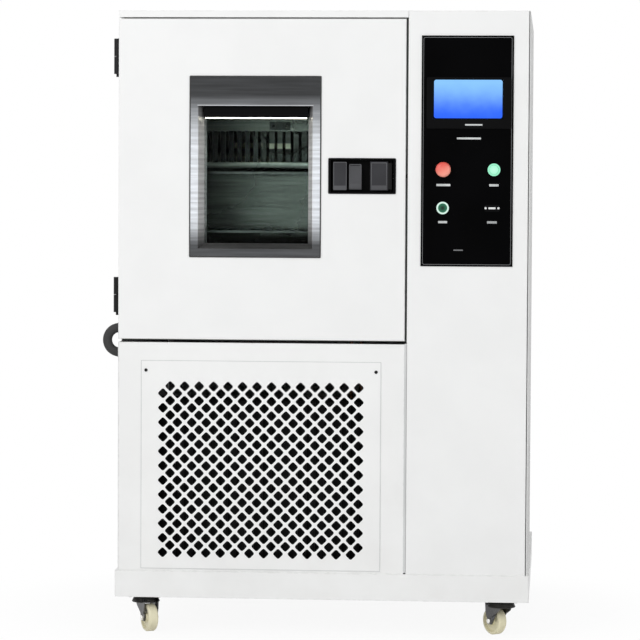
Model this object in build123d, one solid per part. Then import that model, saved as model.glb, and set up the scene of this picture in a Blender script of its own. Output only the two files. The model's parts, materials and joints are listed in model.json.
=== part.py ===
from build123d import *
import os

# Environmental test chamber on four casters, in millimetres.
# +X is to the right seen from the front, the front faces -Y, and the origin is on the floor under the
# middle of the whole outline.

# Overall form
body_width = 1100.0
body_depth = 1050.0
body_height = 1504.0
plinth_height = 71.5
plinth_overhang = 7.0
caster_height = 100.0
sheet = 1.5
liner_sheet = 1.2
seat_gap = 0.3
fold = 20.0

# Door
door_width = 770.5
door_depth = 60.0
door_height = 858.0
top_strip = 18.0
door_top_gap = 3.5
door_bottom_gap = 9.0
door_side_gap = 6.0
gasket_gap = 5.0
gasket_width = 16.0
plug_depth = 30.0
plug_clearance = 8.0
plug_edge_radius = 6.0
door_edge_radius = 3.0

# Test space and its insulated walls
space_width = 500.0
space_height = 600.0
space_depth = 500.0
space_left = 130.0
space_bottom_above_door = 130.0
duct_depth = 150.0
rear_insulation = 100.0
port_radius = 25.0
port_height = 330.0
port_setback = 300.0

# Window
window_left = 194.5
window_width = 347.5
window_height = 479.0
window_above_door = 223.5
window_flange = 18.5
window_slope = 13.5
window_recess = 30.0
pane_thickness = 4.0
lamp_band_height = 58.0
lamp_bar_height = 31.0
lamp_bar_depth = 16.0
lamp_radius = 4.0
lamp_band_setback = 14.0
lamp_band_inset = 8.0
lamp_bar_setback = 12.0
lamp_bar_wall = 4.0

# Door handle
handle_left = 564.2
handle_width = 180.8
handle_height = 95.5
handle_above_door = 392.0
handle_depth = 32.0
handle_wall = 2.5
handle_rim = 2.0
lock_left, lock_width, lock_height = 13.0, 37.0, 70.0
button_left, button_width, button_height = 55.5, 33.5, 64.5
lever_left, lever_width, lever_height = 111.5, 48.0, 78.0
lever_thickness = 7.0
pivot_inset = 167.0
pivot_depth = 8.0
pivot_radius = 2.5
hub_radius = 5.5
fit = 0.1
claw_reach = 43.0
claw_depth = 30.0
claw_sweep = (22.0, 56.0)
claw_thickness = 10.0

# Hinges and the cable conduit beside the door
knuckle_radius = 10.0
knuckle_length = 47.0
hinge_pin_radius = 4.0
hinge_leaf = 3.0
hinge_leaf_width = 42.0
upper_hinge_drop = 51.0
lower_hinge_rise = 164.0
knuckle_gap = 1.0
conduit_radius = 12.5
conduit_bend = 33.0
conduit_inset = 30.0

# Vent grille in the lower front
grille_left = 62.3
grille_width = 646.8
grille_top_gap = 47.5
grille_bottom_gap = 5.5
grille_lap = 15.0
hole_side = 16.6
hole_pitch = 39.05
row_pitch = 19.5
first_row_below_top = 69.8
hole_side_margin = 59.0
hole_bottom_margin = 44.0
screw_radius = 2.0
screw_length = 8.0
screw_inset = 13.8
screw_drop = 27.0

# Control panel
panel_left = 812.0
panel_width = 244.3
panel_height = 612.8
panel_bottom = 996.7
panel_plate = 3.0
panel_lap = 6.0
column_side_gap = 2.0
bezel_left, bezel_width, bezel_height, bezel_bottom = 825.5, 225.5, 137.5, 1362.0
bezel_thickness = 5.0
display_left, display_width, display_height, display_bottom = 843.5, 185.0, 105.5, 1388.5
control_hole_radius = 11.0
control_barrel = 30.0
stop_x, stop_z, stop_radius = 871.5, 1254.0, 20.0
start_x, start_z = 1005.8, 1254.0
light_x, light_z = 870.2, 1152.0
port_x, port_z = 1001.2, 1152.0
cap_radius = 12.0
collar_radius = 16.0
press_travel = 4.0
stop_travel = 5.0
collar_height = 6.0
switch_width, switch_height, switch_depth = 28.0, 38.0, 34.0
port_width, port_plate_height = 40.0, 18.0

# Casters
caster_inset_x = 67.0
caster_inset_y = 75.0
wheel_radius = 37.5
wheel_width = 26.0
caster_trail = 28.0
axle_radius = 4.0
fork_sheet = 2.5
caster_plate = 3.0
caster_turns = (-62.0, 130.0, 10.0, 205.0)

caster_plate_length, caster_plate_width = 96.0, 68.0

# Slots and louvres in the side and rear panels
column_vent_length = 200.0
column_vent_setback = 200.0
column_vent_rise = 120.0
column_vent_pitch = 22.0
column_vent_slot = 6.0
column_vents = 8
louvre_left = 180.0
louvre_length = 380.0
louvre_pitch = 30.0
louvre_depth = 8.0
louvre_height = 14.0
louvre_lip = 3.0
lower_louvre_rise = 90.0
lower_louvres = 10
upper_louvre_drop = 420.0
upper_louvres = 6
wire_hole_radius = 20.0
wire_hole_setback = 90.0
wire_hole_rise = 300.0

# Shelves on slotted uprights
shelf_levels = (165.0, 325.0)
rail_depth, rail_width = 4.0, 20.0
rail_front_gap, rail_rear_gap, rail_end_gap = 60.0, 70.0, 60.0
runner_front_gap, runner_rear_gap = 40.0, 30.0
runner_height, runner_foot = 12.0, 14.0
shelf_side_gap, shelf_end_gap = 3.0, 5.0
shelf_bar, slat, slat_spaces = 6.0, 3.0, 15

# Air duct behind the test space
duct_return_gap = 70.0
duct_outlet_rise, duct_outlet_height, duct_outlet_inset = 350.0, 90.0, 40.0
duct_fold = 14.0
duct_vanes, vane_chord, vane_angle = 18, 16.0, 35.0
heater_rise, heater_pitch, heater_setback = 280.0, 45.0, 45.0
heater_inset, heater_return, heater_bend = 60.0, 40.0, 16.0
heater_radius, heater_post, heater_post_lap = 4.0, 10.0, 9.0
coil_left, coil_right, coil_setback = 40.0, 90.0, 16.0
coil_depth, coil_rise, coil_height, coil_fins = 60.0, 90.0, 140.0, 14
pan_left, pan_width, pan_setback = 40.0, 300.0, 86.0
pan_rear_gap, pan_height, pan_wall = 8.0, 55.0, 1.5
pan_heater_radius, pan_heater_rise = 5.0, 22.0
probe_rise, probe_spacing, probe_length = 455.0, 36.0, 60.0
fin_depth, fin_share, fin_plate = 12.0, 0.45, 3.0
fin_lap, fin_rise = 4.0, 6.0

# Air circulation
wheel_blades = 16
blower_radius = 95.0
blower_width = 45.0
blower_setback = 84.0
blower_hub_radius = 18.0
blower_drop = 35.0
shaft_radius = 6.0
shaft_clearance = 4.0
motor_flange, motor_flange_sheet = 150.0, 5.0
motor_radius, motor_length = 55.0, 110.0

# Refrigeration in the machine space
compressor_left, compressor_setback = 250.0, 405.0
compressor_radius, compressor_height = 90.0, 272.0
compressor_stand, compressor_foot = 26.0, 70.0
condenser_left, condenser_setback = 90.0, 60.0
condenser_width, condenser_depth, condenser_height = 570.0, 60.0, 450.0
condenser_fins = 24
fan_left, fan_height = 375.0, 231.0
fan_radius = 165.0
fan_blades = 4
fan_clearance = 8.0
fan_hub_radius, fan_motor_radius = 32.0, 42.0
fan_ring_depth, fan_bracket_depth = 45.0, 58.0
pipe_radius = 6.0
pipe_clearance = 4.0
pipe_level = 110.0
pipe_setbacks = (60.0, 30.0)
pipe_run = 30.0
pipe_side_run = 20.0
discharge_rise = 60.0
discharge_level, liquid_level, suction_level = 430.0, 80.0, 200.0

# Connections on the rear panel: gland, drain and water inlet
gland_inset, gland_rise, gland_radius, gland_bore = 90.0, 120.0, 12.5, 6.5
spigot_rise, spigot_wall = 60.0, 2.5
drain_left, drain_radius = 120.0, 11.0
inlet_left, inlet_radius = 70.0, 8.0

# Switchgear in the control column; each row is count, width, height and depth
board_front, board_rear, board_rise, board_height = 180.0, 320.0, 350.0, 800.0
board_sheet, board_rail_depth, board_rail_height = 2.0, 7.0, 34.0
switchgear_inset, switchgear_gap, switchgear_pitch, switchgear_rise = 210.0, 12.0, 210.0, 1020.0
switchgear_rows = ((5, 45.0, 78.0, 80.0), (3, 70.0, 95.0, 95.0), (6, 36.0, 70.0, 62.0))

# Planes and lines that the pieces share
conduit_reach = conduit_bend + conduit_radius
left = -(body_width - conduit_reach) / 2
right = left + body_width
front = -body_depth / 2
rear = body_depth / 2
plinth_top = caster_height + plinth_height
top = plinth_top + body_height
door_right = left + door_width
column_left = door_right + door_side_gap
door_top = top - top_strip - door_top_gap
door_bottom = door_top - door_height
lower_top = door_bottom - door_bottom_gap
door_rear = front + door_depth
jamb = door_rear + gasket_gap
space_x0 = left + space_left
space_x1 = space_x0 + space_width
space_z0 = door_bottom + space_bottom_above_door
space_z1 = space_z0 + space_height
plug_rear = jamb + plug_depth
duct_front = plug_rear + space_depth
duct_rear = duct_front + duct_depth
insulation_rear = duct_rear + liner_sheet + rear_insulation
hinge_x = left - knuckle_radius - 1.5
hinge_y = (door_rear + jamb) / 2
window_x0 = left + window_left
window_x1 = window_x0 + window_width
window_z0 = door_bottom + window_above_door
window_z1 = window_z0 + window_height
tunnel_x0 = window_x0 + window_flange
tunnel_x1 = window_x1 - window_flange
tunnel_z0 = window_z0 + window_flange
tunnel_z1 = window_z1 - window_flange
handle_x0 = left + handle_left
handle_bottom = door_bottom + handle_above_door
handle_mid_z = handle_bottom + handle_height / 2
upper_hinge_top = door_top - upper_hinge_drop
lower_hinge_top = door_bottom + lower_hinge_rise
pivot_x = handle_x0 + pivot_inset
pivot_y = front + pivot_depth
grille_z0 = plinth_top + grille_bottom_gap
grille_z1 = lower_top - grille_top_gap
hole_rows = int((grille_z1 - grille_z0 - first_row_below_top - hole_bottom_margin) / row_pitch) + 1
holes_in_row = int((grille_width - 2 * hole_side_margin) / hole_pitch + 0.5)
deck_top = lower_top + 4.0
partition_x = column_left
shaft_x = (space_x0 + space_x1) / 2
shaft_z = space_z1 - blower_radius - blower_drop
compressor_x = left + compressor_left
compressor_y = rear - compressor_setback
condenser_end = left + condenser_left + condenser_width + fin_plate
shroud_front = front + condenser_setback + condenser_depth + fin_lap + seat_gap


def block(x0, x1, y0, y1, z0, z1):
    """A box between two corners."""
    corner = Pos((x0 + x1) / 2, (y0 + y1) / 2, (z0 + z1) / 2)
    return corner * Box(x1 - x0, y1 - y0, z1 - z0)


def rod(axis, start, end, across, radius):
    """A cylinder along one axis; across gives its other two coordinates in X, Y, Z order."""
    middle = (start + end) / 2
    turn = {"x": Rot(0, 90, 0), "y": Rot(90, 0, 0), "z": Rot(0, 0, 0)}[axis]
    place = {
        "x": (middle, across[0], across[1]),
        "y": (across[0], middle, across[1]),
        "z": (across[0], across[1], middle),
    }[axis]
    return Pos(*place) * turn * Cylinder(radius, end - start)


def prism_x(points, x0, x1):
    """A (Y, Z) outline extruded along X."""
    return extrude(Plane.YZ.offset(x0) * make_face(Polyline(*points, close=True)), x1 - x0)


def prism_y(outline, y0, y1):
    """An (X, Z) sketch extruded along Y."""
    plane = Plane(origin=(0, y1, 0), x_dir=(1, 0, 0), z_dir=(0, -1, 0))
    return extrude(plane * outline, y1 - y0)


def prism_z(points, z0, z1):
    """An (X, Y) outline extruded along Z."""
    return extrude(Plane.XY.offset(z0) * make_face(Polyline(*points, close=True)), z1 - z0)


def rectangle(x0, x1, z0, z1):
    """An (X, Z) rectangle for prism_y."""
    return Pos((x0 + x1) / 2, (z0 + z1) / 2) * Rectangle(x1 - x0, z1 - z0)


def turned(profile, x, y, z, facing=Rot(0, 0, 0)):
    """A (radius, height) profile revolved about Z, turned to its facing and put in place."""
    face = Plane.XZ * make_face(Polyline(*profile, close=True))
    return Pos(x, y, z) * facing * revolve(face, Axis.Z)


def group(*solids):
    """Separate solids that share one node."""
    return Compound(children=[solid for shape in solids for solid in shape.solids()])


# Cabinet shell

def base_plinth():
    """The folded base tray that carries the cabinet and takes the casters."""
    x0, x1 = left - plinth_overhang, right + plinth_overhang
    y0, y1 = front - plinth_overhang, rear + plinth_overhang
    tray = block(x0, x1, y0, y1, caster_height, plinth_top)
    tray = fillet(tray.edges().filter_by(Axis.Z), plinth_overhang / 2)
    wall = 3.0
    pocket = block(x0 + wall, x1 - wall, y0 + wall, y1 - wall, caster_height + wall, plinth_top - wall)
    return tray - pocket


def left_side_panel():
    """The left wall: full depth below, and set back behind the door above."""
    z_top = top - sheet
    outline = [
        (front, plinth_top),
        (rear, plinth_top),
        (rear, z_top),
        (jamb, z_top),
        (jamb, lower_top),
        (front, lower_top),
    ]
    panel = prism_x(outline, left, left + sheet)
    port_y, port_z = jamb + port_setback, space_z0 + port_height
    panel -= rod("x", left - 1, left + sheet + 1, (port_y, port_z), port_radius + liner_sheet + seat_gap)
    return panel


def right_side_panel():
    """The right wall of the control column, with its vent slots."""
    panel = block(right - sheet, right, front, rear, plinth_top, top - sheet)
    y1 = rear - column_vent_setback
    y0 = y1 - column_vent_length
    for row in range(column_vents):
        z = plinth_top + column_vent_rise + column_vent_pitch * row
        panel -= block(right - 2 * sheet, right + sheet, y0, y1, z, z + column_vent_slot)
    return panel


def top_cover():
    """The top sheet, folded down above the door and back to the jamb."""
    z = top - sheet
    outline = [
        (front, top),
        (rear, top),
        (rear, z),
        (front + sheet, z),
        (front + sheet, top - top_strip + sheet),
        (jamb, top - top_strip + sheet),
        (jamb, top - top_strip),
        (front, top - top_strip),
    ]
    over_door = prism_x(outline, left, column_left - seat_gap)
    over_column = block(column_left - seat_gap, right, front, rear, z, top)
    return over_door + over_column


def louvre_hood(z, wall, x0, x1):
    """A sloping hood that stands out of the rear panel, drawn in by a wall for the space under it."""
    inner = rear - wall
    outer = rear + louvre_depth - wall
    low = z - wall
    outline = [(inner, low), (outer, low), (outer, low + louvre_lip), (inner, low + louvre_height)]
    return prism_x(outline, x0, x1)


def rear_panel():
    """The removable back, with louvres for the machine space and the blower motor."""
    g = sheet + seat_gap
    panel = block(left + g, right - g, rear - sheet, rear, plinth_top, top - sheet)
    x0 = left + louvre_left
    x1 = x0 + louvre_length
    rows = [plinth_top + lower_louvre_rise + louvre_pitch * row for row in range(lower_louvres)]
    rows += [top - upper_louvre_drop + louvre_pitch * row for row in range(upper_louvres)]
    for z in rows:
        panel += louvre_hood(z, 0.0, x0, x1)
        panel -= louvre_hood(z, sheet, x0 + sheet, x1 - sheet)
    return panel


def inner_bulkheads():
    """The deck under the test chamber and the partition beside the control column."""
    y1 = rear - sheet - seat_gap
    deck = block(left + sheet + seat_gap, partition_x - seat_gap, jamb, y1, deck_top - sheet, deck_top)
    for setback in pipe_setbacks:
        centre = (space_x1 - setback, insulation_rear + pipe_run)
        deck -= rod("z", deck_top - 2 * sheet, deck_top + sheet, centre, pipe_radius + pipe_clearance)
    wall = block(partition_x, partition_x + sheet, jamb + seat_gap, y1, plinth_top, top - sheet)
    wire_place = (rear - wire_hole_setback, plinth_top + wire_hole_rise)
    wall -= rod("x", partition_x - sheet, partition_x + 2 * sheet, wire_place, wire_hole_radius)
    return group(deck, wall)


def control_column_front():
    """The column's folded front, with the cut-out behind the control panel."""
    x1 = right - sheet - column_side_gap
    z1 = top - sheet
    shell = block(column_left, x1, front, jamb, plinth_top, z1)
    shell = fillet(shell.edges().filter_by(Axis.Z).sort_by(Axis.Y)[:2], door_edge_radius)
    shell -= block(column_left + sheet, x1 - sheet, front + sheet, jamb + 1, plinth_top - 1, z1 + 1)
    shell -= block(x1 - sheet - 1, x1 + 1, front + fold, jamb + 1, plinth_top - 1, z1 + 1)
    shell -= block(
        left + panel_left + panel_lap,
        left + panel_left + panel_width - panel_lap,
        front - 1,
        front + fold,
        panel_bottom + panel_lap,
        panel_bottom + panel_height - panel_lap,
    )
    slot = block(
        column_left - 1,
        column_left + 2 * sheet,
        front + claw_sweep[0],
        front + claw_sweep[1],
        handle_mid_z - claw_thickness,
        handle_mid_z + claw_thickness,
    )
    return shell - slot


def lower_front_frame():
    """The folded surround of the vent grille."""
    x0, x1 = left + sheet + seat_gap, door_right
    frame = block(x0, x1, front, front + fold, plinth_top, lower_top)
    t = sheet
    frame -= block(x0 + t, x1 - t, front + t, front + fold + 1, plinth_top + t, lower_top - t)
    g0, g1 = left + grille_left + grille_lap, left + grille_left + grille_width - grille_lap
    frame -= block(g0, g1, front - 1, front + 2 * sheet, grille_z0 + grille_lap, grille_z1 - grille_lap)
    return frame - screw_holes()


def diamond_centres():
    """Centres of the staggered diamonds on the grille, row by row from the top."""
    middle = left + grille_left + grille_width / 2
    first = middle - (holes_in_row - 0.5) * hole_pitch / 2
    centres = []
    for row in range(hole_rows):
        shift = hole_pitch / 2 if row % 2 == 0 else 0.0
        z = grille_z1 - first_row_below_top - row * row_pitch
        centres += [(first + shift + column * hole_pitch, z) for column in range(holes_in_row)]
    return centres


def vent_grille_panel():
    """The perforated access panel: staggered diamonds standing on their corners."""
    x0 = left + grille_left
    x1 = x0 + grille_width
    reach = hole_side * 0.5 ** 0.5
    plane = Plane(origin=(0, front, 0), x_dir=(1, 0, 0), z_dir=(0, -1, 0))
    corners = [(x0, grille_z0), (x1, grille_z0), (x1, grille_z1), (x0, grille_z1)]
    outer = Wire.make_polygon([plane.from_local_coords((x, z, 0)) for x, z in corners], close=True)
    diamonds = []
    for x, z in diamond_centres():
        tips = [(x + reach, z), (x, z + reach), (x - reach, z), (x, z - reach)]
        diamonds.append(Wire.make_polygon([plane.from_local_coords((a, b, 0)) for a, b in tips], close=True))
    return extrude(Face(outer, diamonds), sheet, dir=(0, -1, 0)) - screw_holes()


def screw_places():
    """Where the grille's two screws go, near its top corners."""
    x0 = left + grille_left
    z = grille_z1 - screw_drop
    return [(x0 + screw_inset, z), (x0 + grille_width - screw_inset, z)]


def screw_holes():
    """Clearance holes of the grille's screws."""
    return [rod("y", front - 5, front + 5, place, screw_radius + fit) for place in screw_places()]


def cover_screws():
    """The two pan-head screws of the grille."""
    r = screw_radius
    shank = [(0, -screw_length), (r, -screw_length), (r, 0)]
    head = [(2.3 * r, 0), (2.1 * r, 0.8 * r), (1.3 * r, 1.35 * r), (0, 1.5 * r)]
    return group(*[turned(shank + head, x, front - sheet, z, Rot(90, 0, 0)) for x, z in screw_places()])


# Test chamber

def port_place():
    """The cable port's centre in Y and Z."""
    return jamb + port_setback, space_z0 + port_height


def pipe_places():
    """Where the two evaporator pipes cross the rear wall, in X and Z."""
    return [(space_x1 - setback, space_z0 + pipe_level) for setback in pipe_setbacks]


def liner_walls():
    """The five sheets of the test space: floor, roof, sides and rear."""
    t = liner_sheet
    x0, x1, z0, z1 = space_x0, space_x1, space_z0, space_z1
    y0, y1 = jamb + t, duct_rear + t
    side = block(x0 - t, x0, y0, y1, z0, z1)
    side -= rod("x", x0 - 2 * t, x0 + t, port_place(), port_radius)
    back = block(x0, x1, duct_rear, y1, z0, z1)
    back -= rod("y", duct_rear - t, y1 + t, (shaft_x, shaft_z), shaft_radius + shaft_clearance)
    for place in pipe_places():
        back -= rod("y", duct_rear - t, y1 + t, place, pipe_radius + seat_gap)
    return [
        block(x0 - t, x1 + t, y0, y1, z0 - t, z0),
        block(x0 - t, x1 + t, y0, y1, z1, z1 + t),
        block(x1, x1 + t, y0, y1, z0, z1),
        side,
        back,
    ]


def liner_flange():
    """The four strips round the mouth that the gasket seals on."""
    y0, y1 = jamb, jamb + liner_sheet
    x0, x1 = left + sheet + seat_gap, partition_x - seat_gap
    z0, z1 = deck_top + seat_gap, door_top
    return [
        block(x0, x1, y0, y1, z0, space_z0),
        block(x0, x1, y0, y1, space_z1, z1),
        block(x0, space_x0, y0, y1, space_z0, space_z1),
        block(space_x1, x1, y0, y1, space_z0, space_z1),
    ]


def chamber_liner():
    """The welded stainless sheets of the test space, its front flange and the cable port's tube."""
    end = space_x0 - liner_sheet
    tube = rod("x", left, end, port_place(), port_radius + liner_sheet)
    tube -= rod("x", left - sheet, end + sheet, port_place(), port_radius)
    return group(*liner_walls(), *liner_flange(), tube)


def chamber_insulation():
    """The insulation that fills the walls between liner and outer panels."""
    g = seat_gap
    t = liner_sheet + g
    z0, z1 = deck_top + g, top - top_strip - g
    fill = block(left + sheet + g, partition_x - g, jamb + t, insulation_rear, z0, z1)
    fill -= block(space_x0 - t, space_x1 + t, jamb, duct_rear + t, space_z0 - t, space_z1 + t)
    fill -= rod("x", left, space_x0, port_place(), port_radius + t)
    fill -= rod("y", duct_rear, insulation_rear + g, (shaft_x, shaft_z), shaft_radius + shaft_clearance)
    for place in pipe_places():
        fill -= rod("y", duct_rear, insulation_rear + g, place, pipe_radius + g)
    return fill


def air_duct_panel():
    """The stainless baffle in front of the air duct, with outlet vanes above and a return gap below."""
    x0, x1 = space_x0 + seat_gap, space_x1 - seat_gap
    z0, z1 = space_z0 + duct_return_gap, space_z1 - seat_gap
    y0, y1 = duct_front, duct_front + liner_sheet
    panel = block(x0, x1, y0, y1, z0, z1)
    out_x0, out_x1 = space_x0 + duct_outlet_inset, space_x1 - duct_outlet_inset
    out_z0 = space_z0 + duct_outlet_rise
    out_z1 = out_z0 + duct_outlet_height
    panel -= block(out_x0, out_x1, y0 - 1, y1 + 1, out_z0, out_z1)
    panel += block(x0, x0 + liner_sheet, y0, y0 + duct_fold, z0, z1)
    panel += block(x1 - liner_sheet, x1, y0, y0 + duct_fold, z0, z1)
    step = (out_x1 - out_x0) / duct_vanes
    vane = Rot(0, 0, vane_angle) * Box(liner_sheet, vane_chord, duct_outlet_height - 2 * seat_gap)
    middle_y, middle_z = (y0 + y1) / 2, (out_z0 + out_z1) / 2
    vanes = [Pos(out_x0 + (n + 0.5) * step, middle_y, middle_z) * vane for n in range(duct_vanes)]
    return group(panel, *vanes)


def heater_coil():
    """Two hairpin heater rods across the air duct, on their bracket."""
    y = duct_front + heater_setback
    x0, x1 = space_x0 + heater_inset, space_x1 - heater_inset
    low = space_z0 + heater_rise
    rods = []
    for z in (low, low + heater_pitch):
        corners = [(x0, y, z), (x1, y, z), (x1, y + heater_return, z), (x0, y + heater_return, z)]
        path = FilletPolyline(*corners, radius=heater_bend)
        rods.append(sweep(Plane(origin=(x0, y, z), z_dir=(1, 0, 0)) * Circle(heater_radius), path=path))
    y1 = y + heater_return + heater_post_lap
    z0, z1 = low - heater_post, low + heater_pitch + heater_post
    post = block(x0 - heater_post, x0, y - heater_post_lap, y1, z0, z1)
    third = heater_pitch / 3
    bracket = block(x0 - heater_post, x0, y1, duct_rear - seat_gap, low + third, low + 2 * third)
    return group(post + bracket, *rods)


def fin_pack(x0, x1, y0, y1, z0, z1, fins):
    """A finned coil: a comb of upright fins on a core, with thick end plates."""
    step = (x1 - x0) / fins
    root = y0 + fin_depth
    points = [(x0, y1), (x0, y0)]
    for n in range(fins):
        a = x0 + n * step
        points += [(a + step * fin_share, y0), (a + step * fin_share, root), (a + step, root)]
        if n < fins - 1:
            points.append((a + step, y0))
    points[-1] = (x1, root)
    points.append((x1, y1))
    comb = prism_z(points, z0, z1)
    ends = [
        block(a, a + fin_plate, y0 - fin_lap, y1 + fin_lap, z0 - fin_rise, z1 + fin_rise)
        for a in (x0 - fin_plate, x1)
    ]
    return comb + ends


def evaporator():
    """The cooling coil low in the air duct, on its stand."""
    x0, x1 = space_x0 + coil_left, space_x1 - coil_right
    y0 = duct_front + coil_setback
    y1 = y0 + coil_depth
    z0 = space_z0 + coil_rise
    coil = fin_pack(x0, x1, y0, y1, z0, z0 + coil_height, coil_fins)
    ya, yb = y0 - fin_lap, y1 + fin_lap
    foot_top = space_z0 + fin_lap
    stand = [block(x0 - fin_plate, x1 + fin_plate, ya, yb, space_z0 + seat_gap, foot_top)]
    stand += [block(a, a + fin_plate, ya, yb, foot_top, z0 - fin_rise) for a in (x0 - fin_plate, x1)]
    return coil + stand


def humidifier_pan():
    """The open water pan with its immersion heater, at the foot of the duct."""
    x0 = space_x0 + pan_left
    x1 = x0 + pan_width
    y0, y1 = duct_front + pan_setback, duct_rear - pan_rear_gap
    z0 = space_z0 + seat_gap
    w = pan_wall
    pan = block(x0, x1, y0, y1, z0, z0 + pan_height)
    pan -= block(x0 + w, x1 - w, y0 + w, y1 - w, z0 + w, z0 + pan_height + w)
    heater_place = ((y0 + y1) / 2, z0 + pan_heater_rise)
    heater = rod("x", x0 + w + seat_gap, x1 - 4 * pan_heater_radius, heater_place, pan_heater_radius)
    return group(pan, heater)


def shelf_rails():
    """Uprights on both side walls, with the runners that carry the shelves."""
    y0, y1 = plug_rear + runner_front_gap, duct_front - runner_rear_gap
    pieces = []
    for wall, way in ((space_x0 + seat_gap, 1), (space_x1 - seat_gap, -1)):
        inner = wall + way * rail_depth
        for y in (plug_rear + rail_front_gap, duct_front - rail_rear_gap):
            upright = (y, y + rail_width, space_z0 + rail_end_gap, space_z1 - rail_end_gap)
            pieces.append(block(min(wall, inner), max(wall, inner), *upright))
        for z in shelf_heights():
            web_end, foot_end = inner + way * sheet, inner + way * runner_foot
            web = block(min(inner, web_end), max(inner, web_end), y0, y1, z - runner_height, z)
            foot_z = z - runner_height
            foot = block(min(inner, foot_end), max(inner, foot_end), y0, y1, foot_z, foot_z + sheet)
            pieces.append(web + foot)
    return group(*pieces)


def shelf_heights():
    """Heights of the shelves' top faces."""
    return [space_z0 + level for level in shelf_levels]


def wire_shelves():
    """Two lift-out shelves: a bar frame with slats welded across it."""
    inset = rail_depth + seat_gap + shelf_side_gap
    x0, x1 = space_x0 + inset, space_x1 - inset
    y0 = plug_rear + runner_front_gap + shelf_end_gap
    y1 = duct_front - runner_rear_gap - shelf_end_gap
    bar = shelf_bar
    step = (x1 - x0 - bar) / slat_spaces
    shelves = []
    for z in shelf_heights():
        base = z - runner_height + sheet + seat_gap
        frame = block(x0, x1, y0, y1, base, base + bar)
        frame -= block(x0 + bar, x1 - bar, y0 + bar, y1 - bar, base - 1, base + bar + 1)
        low = base + (bar - slat) / 2
        for n in range(1, slat_spaces):
            x = x0 + bar / 2 + n * step
            frame += block(x - slat / 2, x + slat / 2, y0 + bar / 2, y1 - bar / 2, low, low + slat)
        shelves.append(frame)
    return group(*shelves)


def sensor_probes():
    """The dry-bulb and wet-bulb probes on a clip in front of the duct panel."""
    z = space_z0 + probe_rise
    half = probe_spacing / 2
    y1 = duct_front - seat_gap - 2.0
    clip = block(shaft_x - half - 12, shaft_x + half + 12, y1, duct_front - seat_gap, z - 12, z + 12)
    dry = rod("y", duct_front - probe_length, y1, (shaft_x - half, z), 3)
    wet = rod("y", duct_front - probe_length, y1, (shaft_x + half, z), 4)
    return clip + dry + wet


def port_plug():
    """The silicone plug in the cable port."""
    y, z = jamb + port_setback, space_z0 + port_height
    profile = [
        (0, 0),
        (port_radius + 9, 0),
        (port_radius + 9, 9),
        (port_radius + 6, 12),
        (0, 12),
    ]
    head = turned(profile, left - seat_gap, y, z, Rot(0, -90, 0))
    stem = rod("x", left - seat_gap, space_x0, (y, z), port_radius - seat_gap)
    return head + stem


# Air circulation

def blower_motor():
    """The blower motor on its flange behind the insulated rear wall."""
    y0 = insulation_rear + seat_gap
    y1 = y0 + motor_flange_sheet
    half = motor_flange / 2
    flange = block(shaft_x - half, shaft_x + half, y0, y1, shaft_z - half, shaft_z + half)
    r, h = motor_radius, motor_length
    profile = [(0, 0), (r - 3, 0), (r, 4), (r, h - 14), (r - 5, h - 6), (0.4 * r, h), (0, h)]
    can = turned(profile, shaft_x, y1, shaft_z, Rot(-90, 0, 0))
    return flange + can - rod("y", y0 - 1, y1 + motor_length / 2, (shaft_x, shaft_z), shaft_radius + fit)


def blower_wheel():
    """The centrifugal wheel with its long shaft."""
    y0 = duct_front + blower_setback
    y1 = y0 + blower_width
    plate = 2.0
    centre = (shaft_x, shaft_z)
    chord = 22.0
    disc = rod("y", y1 - plate, y1, centre, blower_radius)
    ring = rod("y", y0, y0 + plate, centre, blower_radius)
    ring -= rod("y", y0 - 1, y0 + plate + 1, centre, blower_radius - chord)
    hub_start = y0 + blower_width / 3
    hub = rod("y", hub_start, y1 - plate, centre, blower_hub_radius)
    blade = Box(chord, sheet, blower_width - 2 * plate)
    blade = Pos(blower_radius - chord / 2 - 1, 0, 0) * Rot(0, 0, 35) * blade
    middle = Pos(shaft_x, (y0 + y1) / 2, shaft_z) * Rot(90, 0, 0)
    blades = [middle * Rot(0, 0, 360 * n / wheel_blades) * blade for n in range(wheel_blades)]
    shaft = rod("y", hub_start, insulation_rear + motor_length / 2 - 5, centre, shaft_radius)
    return disc + ring + hub + shaft + blades


# Machine space

def compressor():
    """The hermetic compressor on its feet."""
    x, y = compressor_x, compressor_y
    r, h = compressor_radius, compressor_height
    foot_z = plinth_top + compressor_stand
    seam = 0.55 * h
    lower = [(0, compressor_stand + 4), (r - 16, compressor_stand + 4), (r, compressor_stand + 24), (r, seam)]
    upper = [(r + 2, seam), (r + 2, seam + 6), (r, seam + 6), (r, h - 37), (r - 22, h - 10), (0, h)]
    shell = turned(lower + upper, x, y, plinth_top)
    f = compressor_foot
    reach = r + 10
    feet = [block(x - reach, x + reach, y + a - 18, y + a + 18, foot_z, foot_z + 4) for a in (-f, f)]
    corners = [(x + a * (r - 5), y + b * f) for a in (-1, 1) for b in (-1, 1)]
    posts = [rod("z", plinth_top, foot_z, corner, 11) for corner in corners]
    link = block(x - 40, x + 40, y - f + 10, y + f - 10, foot_z, foot_z + 5)
    return shell + feet + posts + link


def condenser():
    """The finned condenser behind the vent grille."""
    x0 = left + condenser_left
    y0 = front + condenser_setback
    z0 = plinth_top + fin_rise
    return fin_pack(
        x0, x0 + condenser_width, y0, y0 + condenser_depth, z0, z0 + condenser_height, condenser_fins
    )


def fan_centre():
    """Centre of the condenser fan."""
    return left + fan_left, plinth_top + fan_height


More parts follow.
